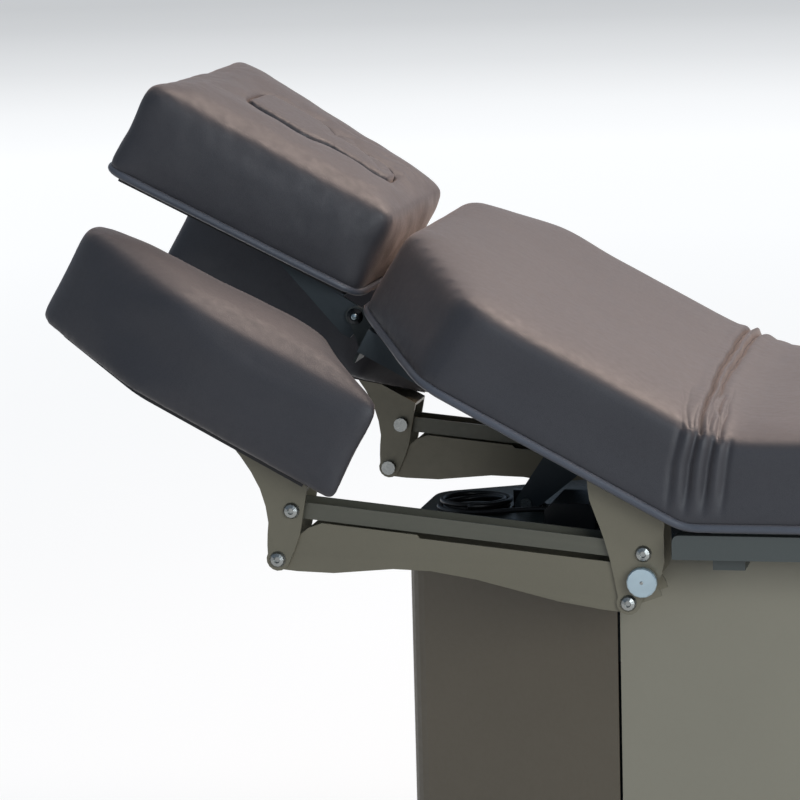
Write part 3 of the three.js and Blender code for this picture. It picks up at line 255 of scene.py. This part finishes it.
def metal(name, colour, rough=0.3):
    """Bare steel with fine scratches."""
    material, tree, shader = new_material(name)
    place = own_place(tree)
    fine = noise(tree, place, 260.0, 5.0, 0.6, 0.4)
    wide = noise(tree, place, 22.0, 3.0)
    uneven_gloss(tree, shader, fine, rough - 0.08, rough + 0.12, 0.72)
    dress(tree, shader, blotches(tree, wide, colour, 0.86, 1.04), bump(tree, fine, 0.1, 0.0002))
    set_sockets(shader, {"Metallic": 1.0})
    return material


def plastic(name, colour, rough=0.5, texture=1.0):
    """Plastic, rubber or coated board with a fine texture."""
    material, tree, shader = new_material(name)
    place = own_place(tree)
    fine = noise(tree, place, 700.0, 3.0)
    wide = noise(tree, place, 12.0, 3.0)
    uneven_gloss(tree, shader, fine, rough - 0.06, rough + 0.08)
    dress(tree, shader, blotches(tree, wide, colour, 0.85, 1.15), bump(tree, fine, 0.12 * texture, 0.0002))
    return material


PAD = leather("pad_leather", linear(59, 58, 62))
PIPE = leather("piping_leather", linear(84, 87, 95), rough=0.42, grain=0.6)
INSERT = leather("insert_leather", linear(58, 57, 61))
OLIVE = paint("olive_paint", linear(112, 106, 90), rough=0.42, metallic=0.3)
# The upper arm bars wear a darker copy of the olive paint: painted shade, standing in for the shadow of the
# pads above them
UPPER_BAR_PAINTED_SHADE = paint("upper_bar_painted_shade", linear(90, 88, 77), rough=0.42, metallic=0.3)
SLATE = paint("slate_paint", linear(70, 74, 72), rough=0.4, metallic=0.3)
DECK = paint("deck_paint", linear(62, 68, 71), rough=0.45, metallic=0.3)
CABINET = paint("cabinet_paint", linear(142, 135, 118), rough=0.5, metallic=0.1, flake=0.7, wear=0.25)
# The cabinet's nose panel wears a darker copy of the cabinet paint: painted shade on the panel that faces
# the head end
NOSE_PAINTED_SHADE = paint("cabinet_nose_painted_shade", linear(107, 96, 79), rough=0.5, metallic=0.1, flake=0.7, wear=0.25)
BOARD = plastic("board_dark", linear(44, 42, 42), rough=0.62)
STEEL = metal("bolt_steel", linear(146, 148, 146), rough=0.3)
DARK_STEEL = metal("dark_steel", linear(52, 54, 56), rough=0.45)
KNOB = metal("knob_steel", linear(172, 189, 197), rough=0.38)
CHROME = metal("column_steel", linear(200, 202, 204), rough=0.2)
BLACK = plastic("black_plastic", linear(22, 23, 25), rough=0.4)
CABLE = plastic("cable_rubber", linear(24, 24, 25), rough=0.36, texture=0.4)
RUBBER = plastic("foot_rubber", linear(26, 26, 26), rough=0.75)

# A node wears the first of these whose words its name holds
LOOKS = (
    ("board", BOARD), ("cabinet_nose", NOSE_PAINTED_SHADE), ("cabinet_side", CABINET),
    ("lift_column_outer", DECK), ("lift_column_inner", CHROME), ("levelling_foot", RUBBER),
    ("bolt", STEEL), ("hinge_pin", STEEL), ("actuator_pin", STEEL), ("clamp_knob", KNOB),
    ("hinge_plate", SLATE), ("upper_arm_bar", UPPER_BAR_PAINTED_SHADE), ("arm_bar", OLIVE), ("bracket", OLIVE),
    ("seat_frame", SLATE), ("frame", DECK), ("lower_shell", DECK), ("headrest_rod", DARK_STEEL),
    ("actuator_housing", BLACK), ("actuator_rod", CHROME), ("control_box", BLACK),
    ("control_cable", CABLE), ("cable_socket", BLACK), ("cushion", PAD), ("face_insert", PAD),
)
for name, obj in NODES.items():
    looks = [material for words, material in LOOKS if words in name]
    if looks:
        assign(obj, looks[0])


# Tools for meshes
def new_mesh(name, vertices, faces):
    mesh = bpy.data.meshes.new(name)
    mesh.from_pydata([tuple(v) for v in vertices], [], [tuple(f) for f in faces])
    mesh.update()
    obj = bpy.data.objects.new(name, mesh)
    SCENE.collection.objects.link(obj)
    return obj


def copy_nodes(name, names):
    vertices, faces = [], []
    for node in names:
        mesh = NODES[node].data
        base = len(vertices)
        vertices += [v.co.copy() for v in mesh.vertices]
        faces += [[base + i for i in p.vertices] for p in mesh.polygons]
    return new_mesh(name, vertices, faces)


def points_of(obj):
    co = np.zeros(len(obj.data.vertices) * 3)
    obj.data.vertices.foreach_get("co", co)
    return co.reshape(-1, 3)


def set_points(obj, points):
    obj.data.vertices.foreach_set("co", np.ascontiguousarray(points, dtype=np.float32).ravel())
    obj.data.update()


def normals_of(obj):
    out = np.zeros(len(obj.data.vertices) * 3)
    obj.data.vertex_normals.foreach_get("vector", out)
    return out.reshape(-1, 3)


def face_out(obj):
    bm = bmesh.new()
    bm.from_mesh(obj.data)
    bmesh.ops.recalc_face_normals(bm, faces=bm.faces)
    bm.to_mesh(obj.data)
    bm.free()


def apply_modifier(obj, modifier):
    bpy.context.view_layer.objects.active = obj
    bpy.ops.object.modifier_apply(modifier=modifier.name)


def remesh(obj, voxel):
    modifier = obj.modifiers.new("voxels", "REMESH")
    modifier.mode = "VOXEL"
    modifier.voxel_size = voxel
    modifier.use_smooth_shade = True
    apply_modifier(obj, modifier)


def subdivide(obj):
    modifier = obj.modifiers.new("smooth", "SUBSURF")
    modifier.levels = 1
    modifier.render_levels = 1
    apply_modifier(obj, modifier)


def evened(obj, field, times):
    """A field on the vertices, drawn step by step halfway to the mean of its neighbours."""
    edges = np.zeros(len(obj.data.edges) * 2, dtype=np.int64)
    obj.data.edges.foreach_get("vertices", edges)
    a, b = edges.reshape(-1, 2).T
    size = len(field)
    count = np.maximum(np.bincount(a, minlength=size) + np.bincount(b, minlength=size), 1)
    for _ in range(times):
        total = np.zeros_like(field)
        for axis in range(field.shape[1]):
            total[:, axis] = np.bincount(a, field[b, axis], size) + np.bincount(b, field[a, axis], size)
        field = field + 0.5 * (total / count[:, None] - field)
    return field


def relax(obj, times):
    set_points(obj, evened(obj, points_of(obj), times))


def bell(x, width):
    return np.exp(-(x / width) ** 2)


def step(x, a, b):
    """Smooth rise from 0 at a to 1 at b."""
    t = np.clip((x - a) / (b - a), 0, 1)
    return t * t * (3 - 2 * t)


# Tools for lines and tubes
def contours(obj, values, level, least):
    """Closed lines on the surface where `values`, one per vertex, pass the level, without short ones."""
    values = np.asarray(values) - level
    points = points_of(obj)
    crossing, links = {}, {}

    def crossing_at(a, b):
        key = (min(a, b), max(a, b))
        if key not in crossing:
            share = values[a] / (values[a] - values[b])
            crossing[key] = points[a] + (points[b] - points[a]) * share
        return key

    above = values > 0
    for polygon in obj.data.polygons:
        ring = list(polygon.vertices)
        signs = above[ring]
        if signs.all() or not signs.any():
            continue
        keys = [crossing_at(ring[i - 1], ring[i]) for i in range(len(ring)) if signs[i - 1] != signs[i]]
        if len(keys) == 2:
            links.setdefault(keys[0], []).append(keys[1])
            links.setdefault(keys[1], []).append(keys[0])
    loops, used = [], set()
    for start in links:
        if start in used:
            continue
        loop, here = [], start
        while here is not None and here not in used:
            used.add(here)
            loop.append(crossing[here])
            here = next((k for k in links[here] if k not in used), None)
        line = np.array(loop)
        if len(line) > 8 and np.linalg.norm(np.diff(line, axis=0), axis=1).sum() > least:
            loops.append(line)
    return loops


def eased(ring):
    """Values round a closed line, each drawn halfway to the mean of its two neighbours."""
    return 0.5 * ring + 0.25 * (np.roll(ring, 1, 0) + np.roll(ring, -1, 0))


def resample(line, spacing, easings):
    """A closed line with points at an even spacing, smoothed."""
    line = np.vstack([line, line[:1]])
    length = np.concatenate([[0], np.cumsum(np.linalg.norm(np.diff(line, axis=0), axis=1))])
    count = max(int(round(length[-1] / spacing)), 8)
    at = np.linspace(0, length[-1], count, endpoint=False)
    out = np.stack([np.interp(at, length, line[:, k]) for k in range(3)], 1)
    for _ in range(easings):
        out = eased(out)
    return out


TUBE_SIDES = 12


def tube(name, line, radius, closed):
    """Round tube along a line, with capped ends where it isn't closed."""
    count, sides = len(line), TUBE_SIDES
    if closed:
        along = np.roll(line, -1, 0) - np.roll(line, 1, 0)
    else:
        along = np.gradient(line, axis=0)
    along /= np.linalg.norm(along, axis=1, keepdims=True)
    across = np.cross(np.broadcast_to(UP, along.shape), along)
    across /= np.maximum(np.linalg.norm(across, axis=1, keepdims=True), 1e-9)
    over = np.cross(along, across)
    angles = np.linspace(0, 2 * np.pi, sides, endpoint=False)[None, :, None]
    sideways = radius * np.cos(angles) * across[:, None, :]
    upward = radius * np.sin(angles) * over[:, None, :]
    vertices = (line[:, None, :] + sideways + upward).reshape(-1, 3)
    faces = []
    for i in range(count if closed else count - 1):
        j = (i + 1) % count
        for k in range(sides):
            m = (k + 1) % sides
            faces.append((i * sides + k, j * sides + k, j * sides + m, i * sides + m))
    if not closed:
        faces.append(tuple(range(sides))[::-1])
        faces.append(tuple((count - 1) * sides + k for k in range(sides)))
    obj = new_mesh(name, vertices, faces)
    face_out(obj)
    obj.data.shade_smooth()
    return obj


PIPING_PROUD = 0.45  # share of its radius by which the piping's middle stands out of the cover
PIPING_DROP = 0.0015


def piped(name, obj, line, radius, spacing):
    """Round piping along a closed line on the pad."""
    tree = KDTree(len(obj.data.vertices))
    normals = normals_of(obj)
    for i, v in enumerate(obj.data.vertices):
        tree.insert(v.co, i)
    tree.balance()
    line = resample(line, spacing, 5)
    out = np.array([normals[tree.find(p)[1]] for p in line])
    line = line + eased(out) * radius * PIPING_PROUD
    line[:, 2] -= PIPING_DROP
    piece = tube(name, resample(line, spacing, 3), radius, closed=True)
    assign(piece, PIPE)
    return piece


# Tools for covers: `height` is a function that gives each point's height over the pad's underside
AIR_PRESSURE = 4.0
AIR_FRAMES = 14
DENT_EVENINGS = 40
CREPE = 0.18  # share of the small dents of the simulated cover that stays
PUCKER_HEIGHTS = (0.02, 0.06)  # puckers fade out between these heights, downwards


def blow_up(obj, held):
    """Cloth with air in it: the cover swells, held still where `held` is 1."""
    modifier = obj.modifiers.new("cover", "CLOTH")
    settings = modifier.settings
    settings.quality = 5
    settings.mass = 0.3
    settings.tension_stiffness = 25.0
    settings.compression_stiffness = 25.0
    settings.shear_stiffness = 10.0
    settings.bending_stiffness = 2.0
    settings.use_pressure = True
    settings.uniform_pressure_force = AIR_PRESSURE
    settings.effector_weights.gravity = 0.0
    modifier.collision_settings.use_collision = False
    modifier.collision_settings.use_self_collision = False
    group = obj.vertex_groups.new(name="held")
    for i, weight in enumerate(held):
        if weight > 0.01:
            group.add([i], float(weight), "REPLACE")
    settings.vertex_group_mass = "held"
    modifier.point_cache.frame_start = 1
    modifier.point_cache.frame_end = AIR_FRAMES
    for f in range(1, AIR_FRAMES + 1):
        SCENE.frame_set(f)
    apply_modifier(obj, modifier)
    SCENE.frame_set(1)


def fill(obj, height, inset, swell, seam):
    """Sets the cover back and swells it again by `swell` at most, from the lower seam height up."""
    set_points(obj, points_of(obj) - inset * normals_of(obj))
    before = points_of(obj)
    blow_up(obj, 1 - step(height(before), *seam))
    moved = points_of(obj) - before
    size = np.linalg.norm(moved, axis=1, keepdims=True)
    moved = moved * np.minimum(1.0, swell / np.maximum(size, 1e-9))
    even = evened(obj, moved, DENT_EVENINGS)
    set_points(obj, before + even + CREPE * (moved - even))


def cover(name, nodes, voxel, evenings):
    """Closed, even mesh over the cushions of some nodes, with soft edges."""
    pad = copy_nodes(name, nodes)
    remesh(pad, voxel)
    relax(pad, evenings)
    return pad


def plump(obj, where, rise, low=0.02, high=0.11, along=BACK_UP):
    """Moves the cover off its foam by a rise, which is whole where `where` has grown from low to high."""
    points = points_of(obj)
    set_points(obj, points + rise * step(where(points), low, high)[:, None] * np.array(along))


def pucker(obj, height, amount, size):
    """Soft unevenness of the cover, fading towards the underside."""
    points = points_of(obj)
    field = np.array([mathutils.noise.fractal(Vector(p) / size, 1.0, 2.0, 2) for p in points])
    fade = step(height(points), *PUCKER_HEIGHTS)
    set_points(obj, points + normals_of(obj) * (amount * field * fade)[:, None])


def press(obj, line, depth, width):
    """Presses a fold into a headrest piece, along a line of points on the slope counted from the pivot."""
    points = points_of(obj)
    flat = to_back(points, PIVOT)[:, :2]
    nearest = np.full(len(points), np.inf)
    for start, end in zip(np.array(line[:-1]), np.array(line[1:])):
        way = end - start
        share = np.clip((flat - start) @ way / (way @ way), 0, 1)
        nearest = np.minimum(nearest, np.linalg.norm(flat - start - share[:, None] * way, axis=1))
    facing_up = step(normals_of(obj) @ np.array(BACK_UP), 0.3, 0.8)
    rim = 0.45 * depth * bell(nearest - 2.6 * width, 1.5 * width)
    fold = -depth * np.exp(-nearest / width) + rim
    set_points(obj, points + (fold * facing_up)[:, None] * np.array(BACK_UP))


def finish_pad(obj, body, material, replaced):
    """A pad that rides on a body, or on none where it bends between two."""
    obj.data.shade_smooth()
    assign(obj, material)
    if body is not None:
        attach(obj, body)
    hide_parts(*replaced)


def towards_head(points):
    """Distance from the hinge up the slope of the back."""
    return -to_back(points)[:, 0]


# Long pad: one cover over back and seat, taut over foam, with creases where it bends
LONG_PAD_NODES = ("back_cushion", "fold_cushion", "seat_cushion")
PAD_RISE = 0.040  # underside over the hinge
SEAT_UNDERSIDE = HINGE.z + PAD_RISE
FINE_BEND = (-0.022, 0.086)  # its faces are finer between these distances from the hinge, towards the foot,
FINE_HEIGHT = 0.012  # and from this height up
HEAD_END = (0.26, 0.48)  # the cover rises between these distances from the hinge, towards the head,
SEAT_START = (-0.01, 0.09)  # and between these towards the foot,
FAR_SHOULDER = (0.28, 0.405)  # and on the back it falls away between these distances from the middle
BACK_END = (-0.04, 0.06)  # the back's part ends between these distances from the hinge, towards the foot
RISE_HEIGHTS = (0.02, 0.10)  # the rise grows between these heights over the underside,
FALL_HEIGHTS = (0.03, 0.11)  # and the fall between these

# Creases of the bend in millimetres: y of points across the cover, x there from the hinge, size there, width
TOP_GROOVES = (
    ((-400, -373, -315, -161, 34, 247, 400), (36.5, 34.6, 29.9, 22.2, 14.4, 10.5, 8),
     (5, 7, 8, 8, 8, 9, 9), 1.8),
    ((-340, -260, -198, -131, 75, 308, 400), (37, 35.5, 34.4, 31, 25.9, 22.8, 21),
     (0, 3, 6, 7.5, 8, 9, 9), 1.8),
    ((-400, -345, -291, -225, -200), (57, 54.3, 44.8, 42, 41.5), (3.5, 3.5, 3, 2, 0), 2.4),
    ((-400, -377, -301, -243, -168, -140), (60.5, 59.3, 56.8, 51.6, 47.4, 46.5),
     (3, 3, 3, 2.4, 1.2, 0), 2.4),
    ((-400, -398, -325, -290), (27, 26.8, 23.1, 21.5), (2.4, 2.4, 1.6, 0), 2.4),
    ((-400, -390, -327, -248, -220), (22, 21.8, 11.1, 4.4, 3), (2.2, 2.2, 1.8, 1.2, 0), 2.8),
    ((-400, -339, -276, -250), (15, 7.6, 0, -3), (1.8, 1.5, 1.2, 0), 2.8),
    ((-400, -323, -275, -250), (45, 42.3, 38.1, 36.5), (2.4, 2, 1.6, 0), 2.4),
    ((330, 345, 385, 400), (-4, -5, -8, -9), (0, 1.5, 2.4, 2.4), 3.0),
    ((310, 340, 385, 400), (42, 45, 49, 50), (0, 2.2, 3.4, 3.4), 3.0),
    ((300, 350, 385, 400), (62, 66, 70, 71), (0, 1.6, 2.6, 2.6), 3.2),
)
TOP_RIDGES = (
    ((-400, -330, -260, -131, 75, 308, 400), (46, 36, 33, 26.5, 20, 16.5, 14.5),
     (2.0, 3, 5, 5.6, 5.6, 6.4, 7), 4.0),
    ((-400, -345, -291, -225, -190), (50, 49, 50.5, 46.5, 45), (2.6, 2.6, 2.4, 1.6, 0), 4.0),
    ((-400, -300, -161, 34, 247, 400), (28, 22, 14, 7, 3, 1), (1.4, 1.4, 1.2, 1.2, 2.0, 2.6), 7.0),
    ((-400, -300, -161, 34, 247, 400), (66, 60, 44, 36, 33, 32), (1.2, 1.2, 1.2, 1.2, 2.0, 2.6), 7.0),
)
# On the pad's sides: height above the floor, x there from the hinge, and the crease's size
SIDE_RIDGES = (
    ((620, 681, 730), (2.6, 9.0, 21.8), 3.2),
    ((620, 681, 722), (24.5, 32.0, 39.9), 3.6),
    ((620, 681, 712), (47.4, 54.6, 60.0), 3.4),
)
SIDE_GROOVES = (
    ((620, 681, 730), (-8.0, -1.5, 11.0), 2.0),
    ((620, 681, 722), (14.0, 20.5, 31.0), 3.4),
    ((620, 681, 712), (36.0, 43.5, 50.0), 3.4),
    ((620, 681, 712), (59.0, 66.0, 70.5), 2.4),
)
SIDE_RIDGE_WIDTH = 6.5
SIDE_GROOVE_WIDTH = 4.2
SIDE_CREASE_START = (608.0, 660.0)


def fold_height(points):
    """Height above the underside of the long pad, which bends where the back meets the seat."""
    return np.minimum(to_back(points)[:, 2] - PAD_RISE, points[:, 2] - SEAT_UNDERSIDE)


def head_end(points):
    return step(towards_head(points), *HEAD_END) * step(fold_height(points), *RISE_HEIGHTS)


def seat_top(points):
    return step(points[:, 0] - HINGE.x, *SEAT_START) * step(fold_height(points), *RISE_HEIGHTS)


def far_shoulder(points):
    on_back = 1 - step(points[:, 0] - HINGE.x, *BACK_END)
    return on_back * step(points[:, 1], *FAR_SHOULDER) * step(fold_height(points), *FALL_HEIGHTS)


def refine_bend(obj):
    """Finer faces where the cover creases."""
    points = points_of(obj)
    inside = (points[:, 0] > HINGE.x + FINE_BEND[0]) & (points[:, 0] < HINGE.x + FINE_BEND[1])
    inside &= fold_height(points) > FINE_HEIGHT
    bm = bmesh.new()
    bm.from_mesh(obj.data)
    edges = [e for e in bm.edges if all(inside[v.index] for v in e.verts)]
    bmesh.ops.subdivide_edges(bm, edges=edges, cuts=2, use_grid_fill=True)
    bm.to_mesh(obj.data)
    bm.free()


def crease_pad(obj):
    """Presses the creases of the bend into the cover and raises ridges between them, on top and sides."""
    points, normals = points_of(obj), normals_of(obj)
    x = (points[:, 0] - HINGE.x) * 1000.0
    y, z = points[:, 1] * 1000.0, points[:, 2] * 1000.0
    facing_up = step(normals[:, 2], 0.25, 0.75)
    facing_side = step(np.abs(normals[:, 1]), 0.35, 0.85)
    wander = 0.9 * np.sin(y * 0.023) + 0.5 * np.sin(y * 0.061 + 1.3)
    out = np.zeros(len(points))
    for at, line, deep, width in TOP_GROOVES:
        away = np.abs(x - np.interp(y, at, line) - wander)
        out -= np.interp(y, at, deep, left=0, right=0) * np.exp(-away / width) * facing_up
    for at, line, high, width in TOP_RIDGES:
        away = x - np.interp(y, at, line) - wander
        out += np.interp(y, at, high, left=0, right=0) * bell(away, width) * facing_up
    upper = step(z, *SIDE_CREASE_START)
    for at, line, high in SIDE_RIDGES:
        out += high * bell(x - np.interp(z, at, line), SIDE_RIDGE_WIDTH) * upper * facing_side
    for at, line, deep in SIDE_GROOVES:
        out -= deep * bell(x - np.interp(z, at, line), SIDE_GROOVE_WIDTH) * upper * facing_side
    set_points(obj, points + normals * (out / 1000.0)[:, None])


def make_long_pad():
    pad = cover("long_pad", LONG_PAD_NODES, voxel=0.009, evenings=7)
    fill(pad, fold_height, inset=0.004, swell=0.005, seam=(0.006, 0.030))
    plump(pad, head_end, 0.009, 0.0, 1.0)
    plump(pad, seat_top, 0.009, 0.0, 1.0, along=UP)
    plump(pad, far_shoulder, -0.008, 0.0, 1.0)
    relax(pad, 2)
    subdivide(pad)
    refine_bend(pad)
    pucker(pad, fold_height, amount=0.0010, size=0.11)
    crease_pad(pad)
    finish_pad(pad, None, PAD, LONG_PAD_NODES)
    seams = contours(pad, fold_height(points_of(pad)), level=0.0090, least=1.0)
    piping = piped("long_pad_piping", pad, max(seams, key=len), radius=0.0054, spacing=0.006)
    for piece in (pad, piping):
        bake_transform(piece)


# Headrest and its lift-out face insert
HEADREST_UNDERSIDE = 0.027  # over the pivot
HEADREST_SEAM = (0.006, 0.028)
# Folds of the cover: points along the slope and across from the pivot, then depth and width
HEADREST_FOLDS = (
    (((-0.162, 0.008), (-0.161, 0.060), (-0.143, 0.066), (-0.110, 0.029), (-0.082, -0.006), (-0.063, 0.036)),
     0.0015, 0.0055),
    (((-0.175, 0.110), (-0.140, 0.095), (-0.118, 0.115)), 0.0016, 0.0060),
    (((-0.235, 0.090), (-0.205, 0.070), (-0.190, 0.085)), 0.0014, 0.0070),
    (((-0.095, 0.075), (-0.070, 0.100), (-0.048, 0.095)), 0.0014, 0.0060),
)


def headrest_height(points):
    return to_back(points, PIVOT)[:, 2] - HEADREST_UNDERSIDE


def fold_cover(pad):
    for line, depth, width in HEADREST_FOLDS:
        press(pad, line, depth, width)


def make_headrest():
    pad = cover("headrest_pad", ("headrest_cushion",), voxel=0.0055, evenings=5)
    fill(pad, headrest_height, inset=0.003, swell=0.005, seam=HEADREST_SEAM)
    plump(pad, headrest_height, 0.006)
    relax(pad, 1)
    subdivide(pad)
    pucker(pad, headrest_height, amount=0.0016, size=0.055)
    fold_cover(pad)
    finish_pad(pad, "headrest", PAD, ("headrest_cushion",))
    seams = contours(pad, headrest_height(points_of(pad)), level=0.0060, least=0.9)
    outer = max(seams, key=lambda line: np.ptp(line[:, 1]))
    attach(piped("headrest_piping", pad, outer, radius=0.0052, spacing=0.005), "headrest")


def make_face_insert():
    pad = cover("face_insert_pad", ("face_insert",), voxel=0.0045, evenings=4)
    fill(pad, headrest_height, inset=0.0, swell=0.0015, seam=HEADREST_SEAM)
    plump(pad, headrest_height, 0.006)
    subdivide(pad)
    fold_cover(pad)
    finish_pad(pad, "face_insert", INSERT, ("face_insert",))


# Arm pads, fuller towards the head end, between these distances from the hinge along the back
ARM_HEAD = (0.50, 0.86)


def make_arm_pad(side):
    node = "arm_cushion_" + side
    pad = cover("arm_pad_" + side, (node,), voxel=0.0055, evenings=5)
    underside = float(to_back(points_of(pad))[:, 2].min())

    def height(points):
        return to_back(points)[:, 2] - underside

    fill(pad, height, inset=0.002, swell=0.005, seam=(0.004, 0.022))
    plump(pad, height, 0.004)
    plump(pad, towards_head, 0.006, *ARM_HEAD, along=HEADWARD)
    relax(pad, 1)
    subdivide(pad)
    pucker(pad, height, amount=0.0010, size=0.08)
    finish_pad(pad, "armrest_" + side, PAD, (node,))


make_long_pad()
make_headrest()
make_face_insert()
for side, _ in SIDES:
    make_arm_pad(side)

# Control cable: from the box in two layers that spiral in and out again, to the socket
CABLE_RADIUS = 0.0035
CABLE_PITCH = 0.008
COIL_RADIUS = 0.050
COIL_TURNS = 1.5  # in each of the two layers
COIL_STEPS = 48
COIL_CENTRE = (HINGE.x - 0.322, -0.016)
GLAND = (-0.078, 0.012)  # where the cable leaves the box: across, and above the deck
GLAND_GAP = 0.0003


def on_curve(t, start, start_pull, end_pull, end):
    """Point at the share t of a cubic curve."""
    s = 1 - t
    return s ** 3 * start + 3 * s ** 2 * t * start_pull + 3 * s * t * t * end_pull + t ** 3 * end


def cable_path():
    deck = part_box("control_cable")[0][2]
    low = deck + CABLE_RADIUS
    box_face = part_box("control_box")[0][0]
    start = Vector((box_face - GLAND_GAP, GLAND[0], deck + GLAND[1]))
    enter = Vector((COIL_CENTRE[0], COIL_CENTRE[1] - COIL_RADIUS, low))
    lean = Vector((COIL_RADIUS, 0, 0))
    points = []
    for i in range(COIL_STEPS // 2):
        points.append(on_curve(2.0 * i / COIL_STEPS, start, start - lean, enter + lean, enter))
    for i in range(int(2 * COIL_TURNS * COIL_STEPS) + 1):
        turns = i / COIL_STEPS
        radius = COIL_RADIUS - CABLE_PITCH * min(turns, 2 * COIL_TURNS - turns)
        climb = step(turns, COIL_TURNS - 0.25, COIL_TURNS + 0.25)
        angle = -math.pi / 2 - turns * 2 * math.pi
        x = COIL_CENTRE[0] + radius * math.cos(angle)
        y = COIL_CENTRE[1] + radius * math.sin(angle)
        points.append(Vector((x, y, low + CABLE_PITCH * climb)))
    return np.array([tuple(p) for p in points])


cable = tube("cable_turns", cable_path(), CABLE_RADIUS, closed=False)
assign(cable, CABLE)
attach(cable, "lift")
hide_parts("control_cable")

# Small hardware. Profiles list radius and height over the face that carries the piece
TURNED_SIDES = 32
SCREW_HEAD = ((0.0042, -0.0002), (0.0042, 0.0012), (0.0030, 0.0024), (0.0008, 0.0028))
KNOB_CENTRE = ((0.0022, -0.0002), (0.0022, 0.0003), (0.0012, 0.0004))


def turned(name, node, sign, profile, material, body):
    """Steel piece turned about an axis along Y, on the near face of a node (sign -1) or the far one."""
    low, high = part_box(node)
    x, z = (low[0] + high[0]) / 2, (low[2] + high[2]) / 2
    y = low[1] if sign < 0 else high[1]
    sides = TURNED_SIDES
    vertices, faces = [], []
    for radius, height in profile:
        for k in range(sides):
            angle = 2 * math.pi * k / sides
            vertices.append((x + radius * math.cos(angle), y + sign * height, z + radius * math.sin(angle)))
    for ring in range(len(profile) - 1):
        for k in range(sides):
            a, b = ring * sides + k, ring * sides + (k + 1) % sides
            faces.append((a, b, b + sides, a + sides))
    faces.append(tuple(reversed(range(sides))))
    faces.append(tuple(range((len(profile) - 1) * sides, len(profile) * sides)))
    piece = new_mesh(name, vertices, faces)
    face_out(piece)
    piece.data.shade_smooth()
    assign(piece, material)
    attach(piece, body)


turned("rod_screw", "headrest_rod", -1.0, SCREW_HEAD, KNOB, "headrest")
for side, sign in SIDES:
    turned("knob_centre_" + side, "arm_clamp_knob_" + side, sign, KNOB_CENTRE, STEEL, "clamp_knob_" + side)


# Floor and light
FLOOR_RADIUS = 90.0
FADE_REACH = 40.0
# The floor glows less far away: distances from its middle as shares of FADE_REACH, and the glow there
FLOOR_GLOW = (
    (0.0, 0.76), (0.12, 0.84), (0.2, 0.91), (0.29, 0.93),
    (0.35, 0.86), (0.43, 0.71), (0.54, 0.57), (0.62, 0.52),
)
FLOOR_SHADES = ((0.3, (0.165, 0.185, 0.20)), (0.7, (0.175, 0.195, 0.21)))
# The sky's colours from straight below to straight above
SKY = (
    (0.0, (0.06, 0.07, 0.09)), (0.42, (0.10, 0.13, 0.18)),
    (0.55, (0.18, 0.25, 0.34)), (1.0, (0.36, 0.40, 0.44)),
)
PAPER = (0.56, 0.56, 0.56, 1.0)


def floor_paper():
    material, tree, shader = new_material("floor_paper")
    place = own_place(tree)
    away = add(tree, "ShaderNodeVectorMath", operation="LENGTH")
    tree.links.new(place, away.inputs[0])
    share = add(tree, "ShaderNodeMath", operation="DIVIDE")
    share.inputs[1].default_value = FADE_REACH
    tree.links.new(away.outputs["Value"], share.inputs[0])
    glow = ramp(tree, share.outputs[0], [(at, grey(strength)) for at, strength in FLOOR_GLOW])
    tree.links.new(glow, shader.inputs["Emission Color"])
    tree.links.new(ramp(tree, noise(tree, place, 0.6, 2.0), FLOOR_SHADES), shader.inputs["Base Color"])
    set_sockets(shader, {"Roughness": 0.9, "Specular IOR Level": 0.1, "Emission Strength": 1.0})
    return material


def lay_floor():
    bm = bmesh.new()
    bmesh.ops.create_circle(bm, cap_ends=True, segments=96, radius=FLOOR_RADIUS)
    mesh = bpy.data.meshes.new("floor")
    bm.to_mesh(mesh)
    bm.free()
    obj = bpy.data.objects.new("floor", mesh)
    SCENE.collection.objects.link(obj)
    assign(obj, floor_paper())
    obj.visible_diffuse = False


def studio_world():
    """White paper all around for the camera, and a soft cool sky, darker from below, as light."""
    world = bpy.data.worlds.new("world")
    world.use_nodes = True
    tree = world.node_tree
    split = add(tree, "ShaderNodeSeparateXYZ")
    tree.links.new(add(tree, "ShaderNodeTexCoord").outputs["Generated"], split.inputs[0])
    height = add(tree, "ShaderNodeMapRange")
    set_sockets(height, {"From Min": -1.0})
    tree.links.new(split.outputs["Z"], height.inputs["Value"])
    light = tree.nodes["Background"]
    tree.links.new(ramp(tree, height.outputs[0], SKY), light.inputs["Color"])
    paper = add(tree, "ShaderNodeBackground")
    set_sockets(paper, {"Color": PAPER})
    mixed = add(tree, "ShaderNodeMixShader")
    tree.links.new(add(tree, "ShaderNodeLightPath").outputs["Is Camera Ray"], mixed.inputs[0])
    tree.links.new(light.outputs[0], mixed.inputs[1])
    tree.links.new(paper.outputs[0], mixed.inputs[2])
    tree.links.new(mixed.outputs[0], tree.nodes["World Output"].inputs["Surface"])
    SCENE.world = world


def area_light(name, place, target, size, power, colour):
    data = bpy.data.lights.new(name, "AREA")
    data.shape = "RECTANGLE"
    data.size, data.size_y = size
    data.energy = power
    data.color = colour
    obj = bpy.data.objects.new(name, data)
    obj.location = place
    obj.rotation_euler = (Vector(target) - Vector(place)).to_track_quat("-Z", "Y").to_euler()
    SCENE.collection.objects.link(obj)


lay_floor()
studio_world()
area_light("top_light", place=(1.5, 1.2, 3.4), target=(0.0, 0.0, 0.7),
           size=(3.4, 3.4), power=240.0, colour=(1.0, 0.79, 0.67))
area_light("front_fill", place=(1.7, -2.9, 1.5), target=(0.0, 0.0, 0.6),
           size=(1.8, 1.6), power=66.0, colour=(0.90, 0.96, 1.0))
SCENE.view_settings.view_transform = "Standard"
